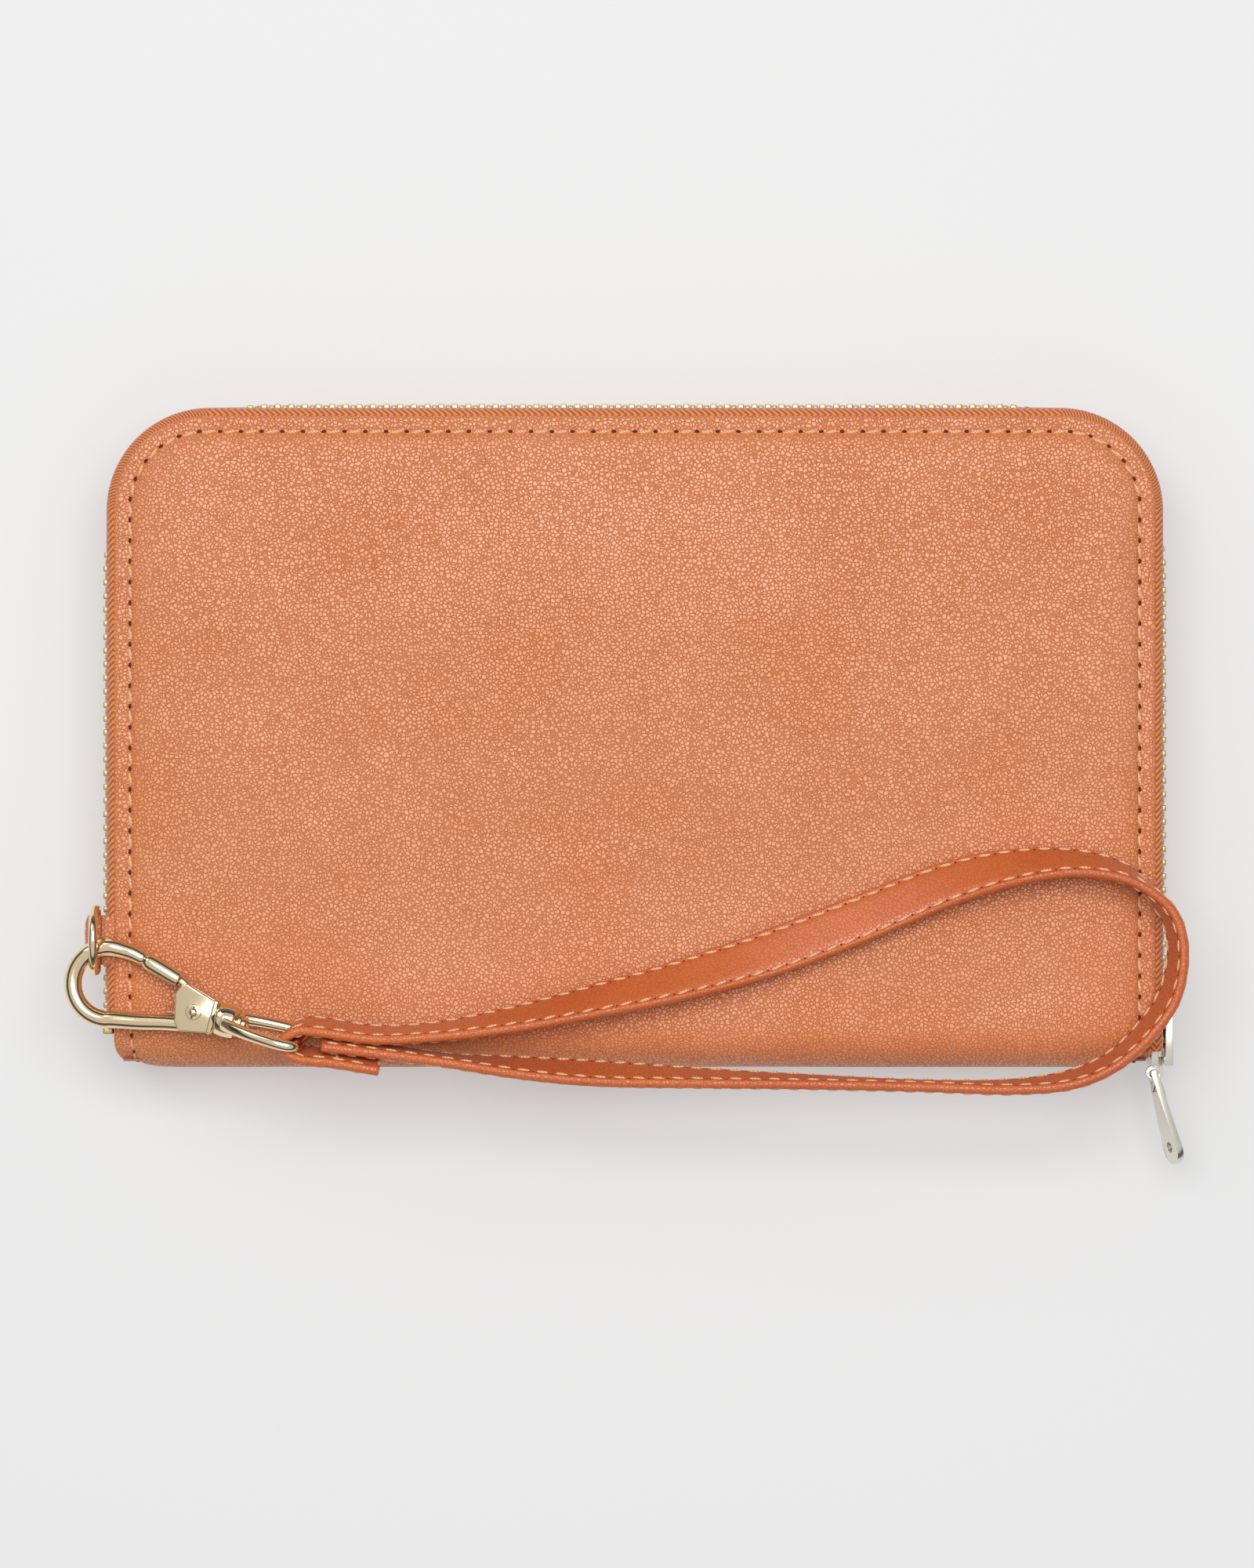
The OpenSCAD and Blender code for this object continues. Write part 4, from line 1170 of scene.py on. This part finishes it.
studio = {"floor": "B9B9B9", "glow": 0.36, "floorDrop": 0.1 * mm, "zenith": 0.64, "horizon": 0.15, "dark": 0.03,
          "box": 5.9, "boxSize": (0.75, 0.5), "boxAt": (0.0, 0.22, 0.98),
          "side": 1.2, "sideSize": (0.5, 0.5), "sideAt": (-0.7, 0.75, 0.7),
          "camera": (-1.43 * mm, -7.7 * mm, 1.223), "lens": 151.2, "sensor": 36}


def areaLight(name, place, size, power):
    # a rectangular soft light that looks at the middle of the wallet
    lamp = bpy.data.lights.new(name, "AREA")
    lamp.shape = "RECTANGLE"
    lamp.size, lamp.size_y = size
    lamp.energy = power
    holder = bpy.data.objects.new(name, lamp)
    bpy.context.scene.collection.objects.link(holder)
    holder.location = place
    holder.rotation_euler = (-Vector(place)).to_track_quat("-Z", "Y").to_euler()


def makeStudio():
    deselectAll()
    bpy.ops.mesh.primitive_plane_add(size=12, location=(0, 0, -studio["floorDrop"]))
    # a white light table: it glows a little, so shadows on it stay faint
    floorMat, tree, shader = newMaterial("lightTable", {
        "Base Color": linear(studio["floor"]), "Roughness": 0.95, "Specular IOR Level": 0.1,
        "Emission Color": (1, 1, 1, 1), "Emission Strength": studio["glow"]})
    floor = named("floor", floorMat)
    # the room: bright ceiling, dim walls, so that metal has something dark to mirror
    world = bpy.data.worlds.new("studio")
    bpy.context.scene.world = world
    world.use_nodes = True
    tree = world.node_tree
    back = tree.nodes["Background"]
    way = addNode(tree, "ShaderNodeTexCoord").outputs["Generated"]
    up = addNode(tree, "ShaderNodeSeparateXYZ", links={0: way}).outputs["Z"]
    dim, dark, bright = (grey(studio[key]) for key in ("horizon", "dark", "zenith"))
    tone = ramp(tree, up, [(0.0, dim), (0.3, dim), (0.4, dark), (0.5, dark), (0.62, bright), (1.0, bright)])
    tree.links.new(tone, back.inputs["Color"])
    areaLight("softbox", studio["boxAt"], studio["boxSize"], studio["box"])
    areaLight("fill", studio["sideAt"], studio["sideSize"], studio["side"])
    lens = bpy.data.cameras.new("above")
    lens.lens, lens.sensor_width = studio["lens"], studio["sensor"]
    view = bpy.data.objects.new("above", lens)
    view.location = studio["camera"]
    bpy.context.scene.collection.objects.link(view)
    bpy.context.scene.camera = view
    bpy.context.scene.view_settings.view_transform = "Standard"


makeStudio()
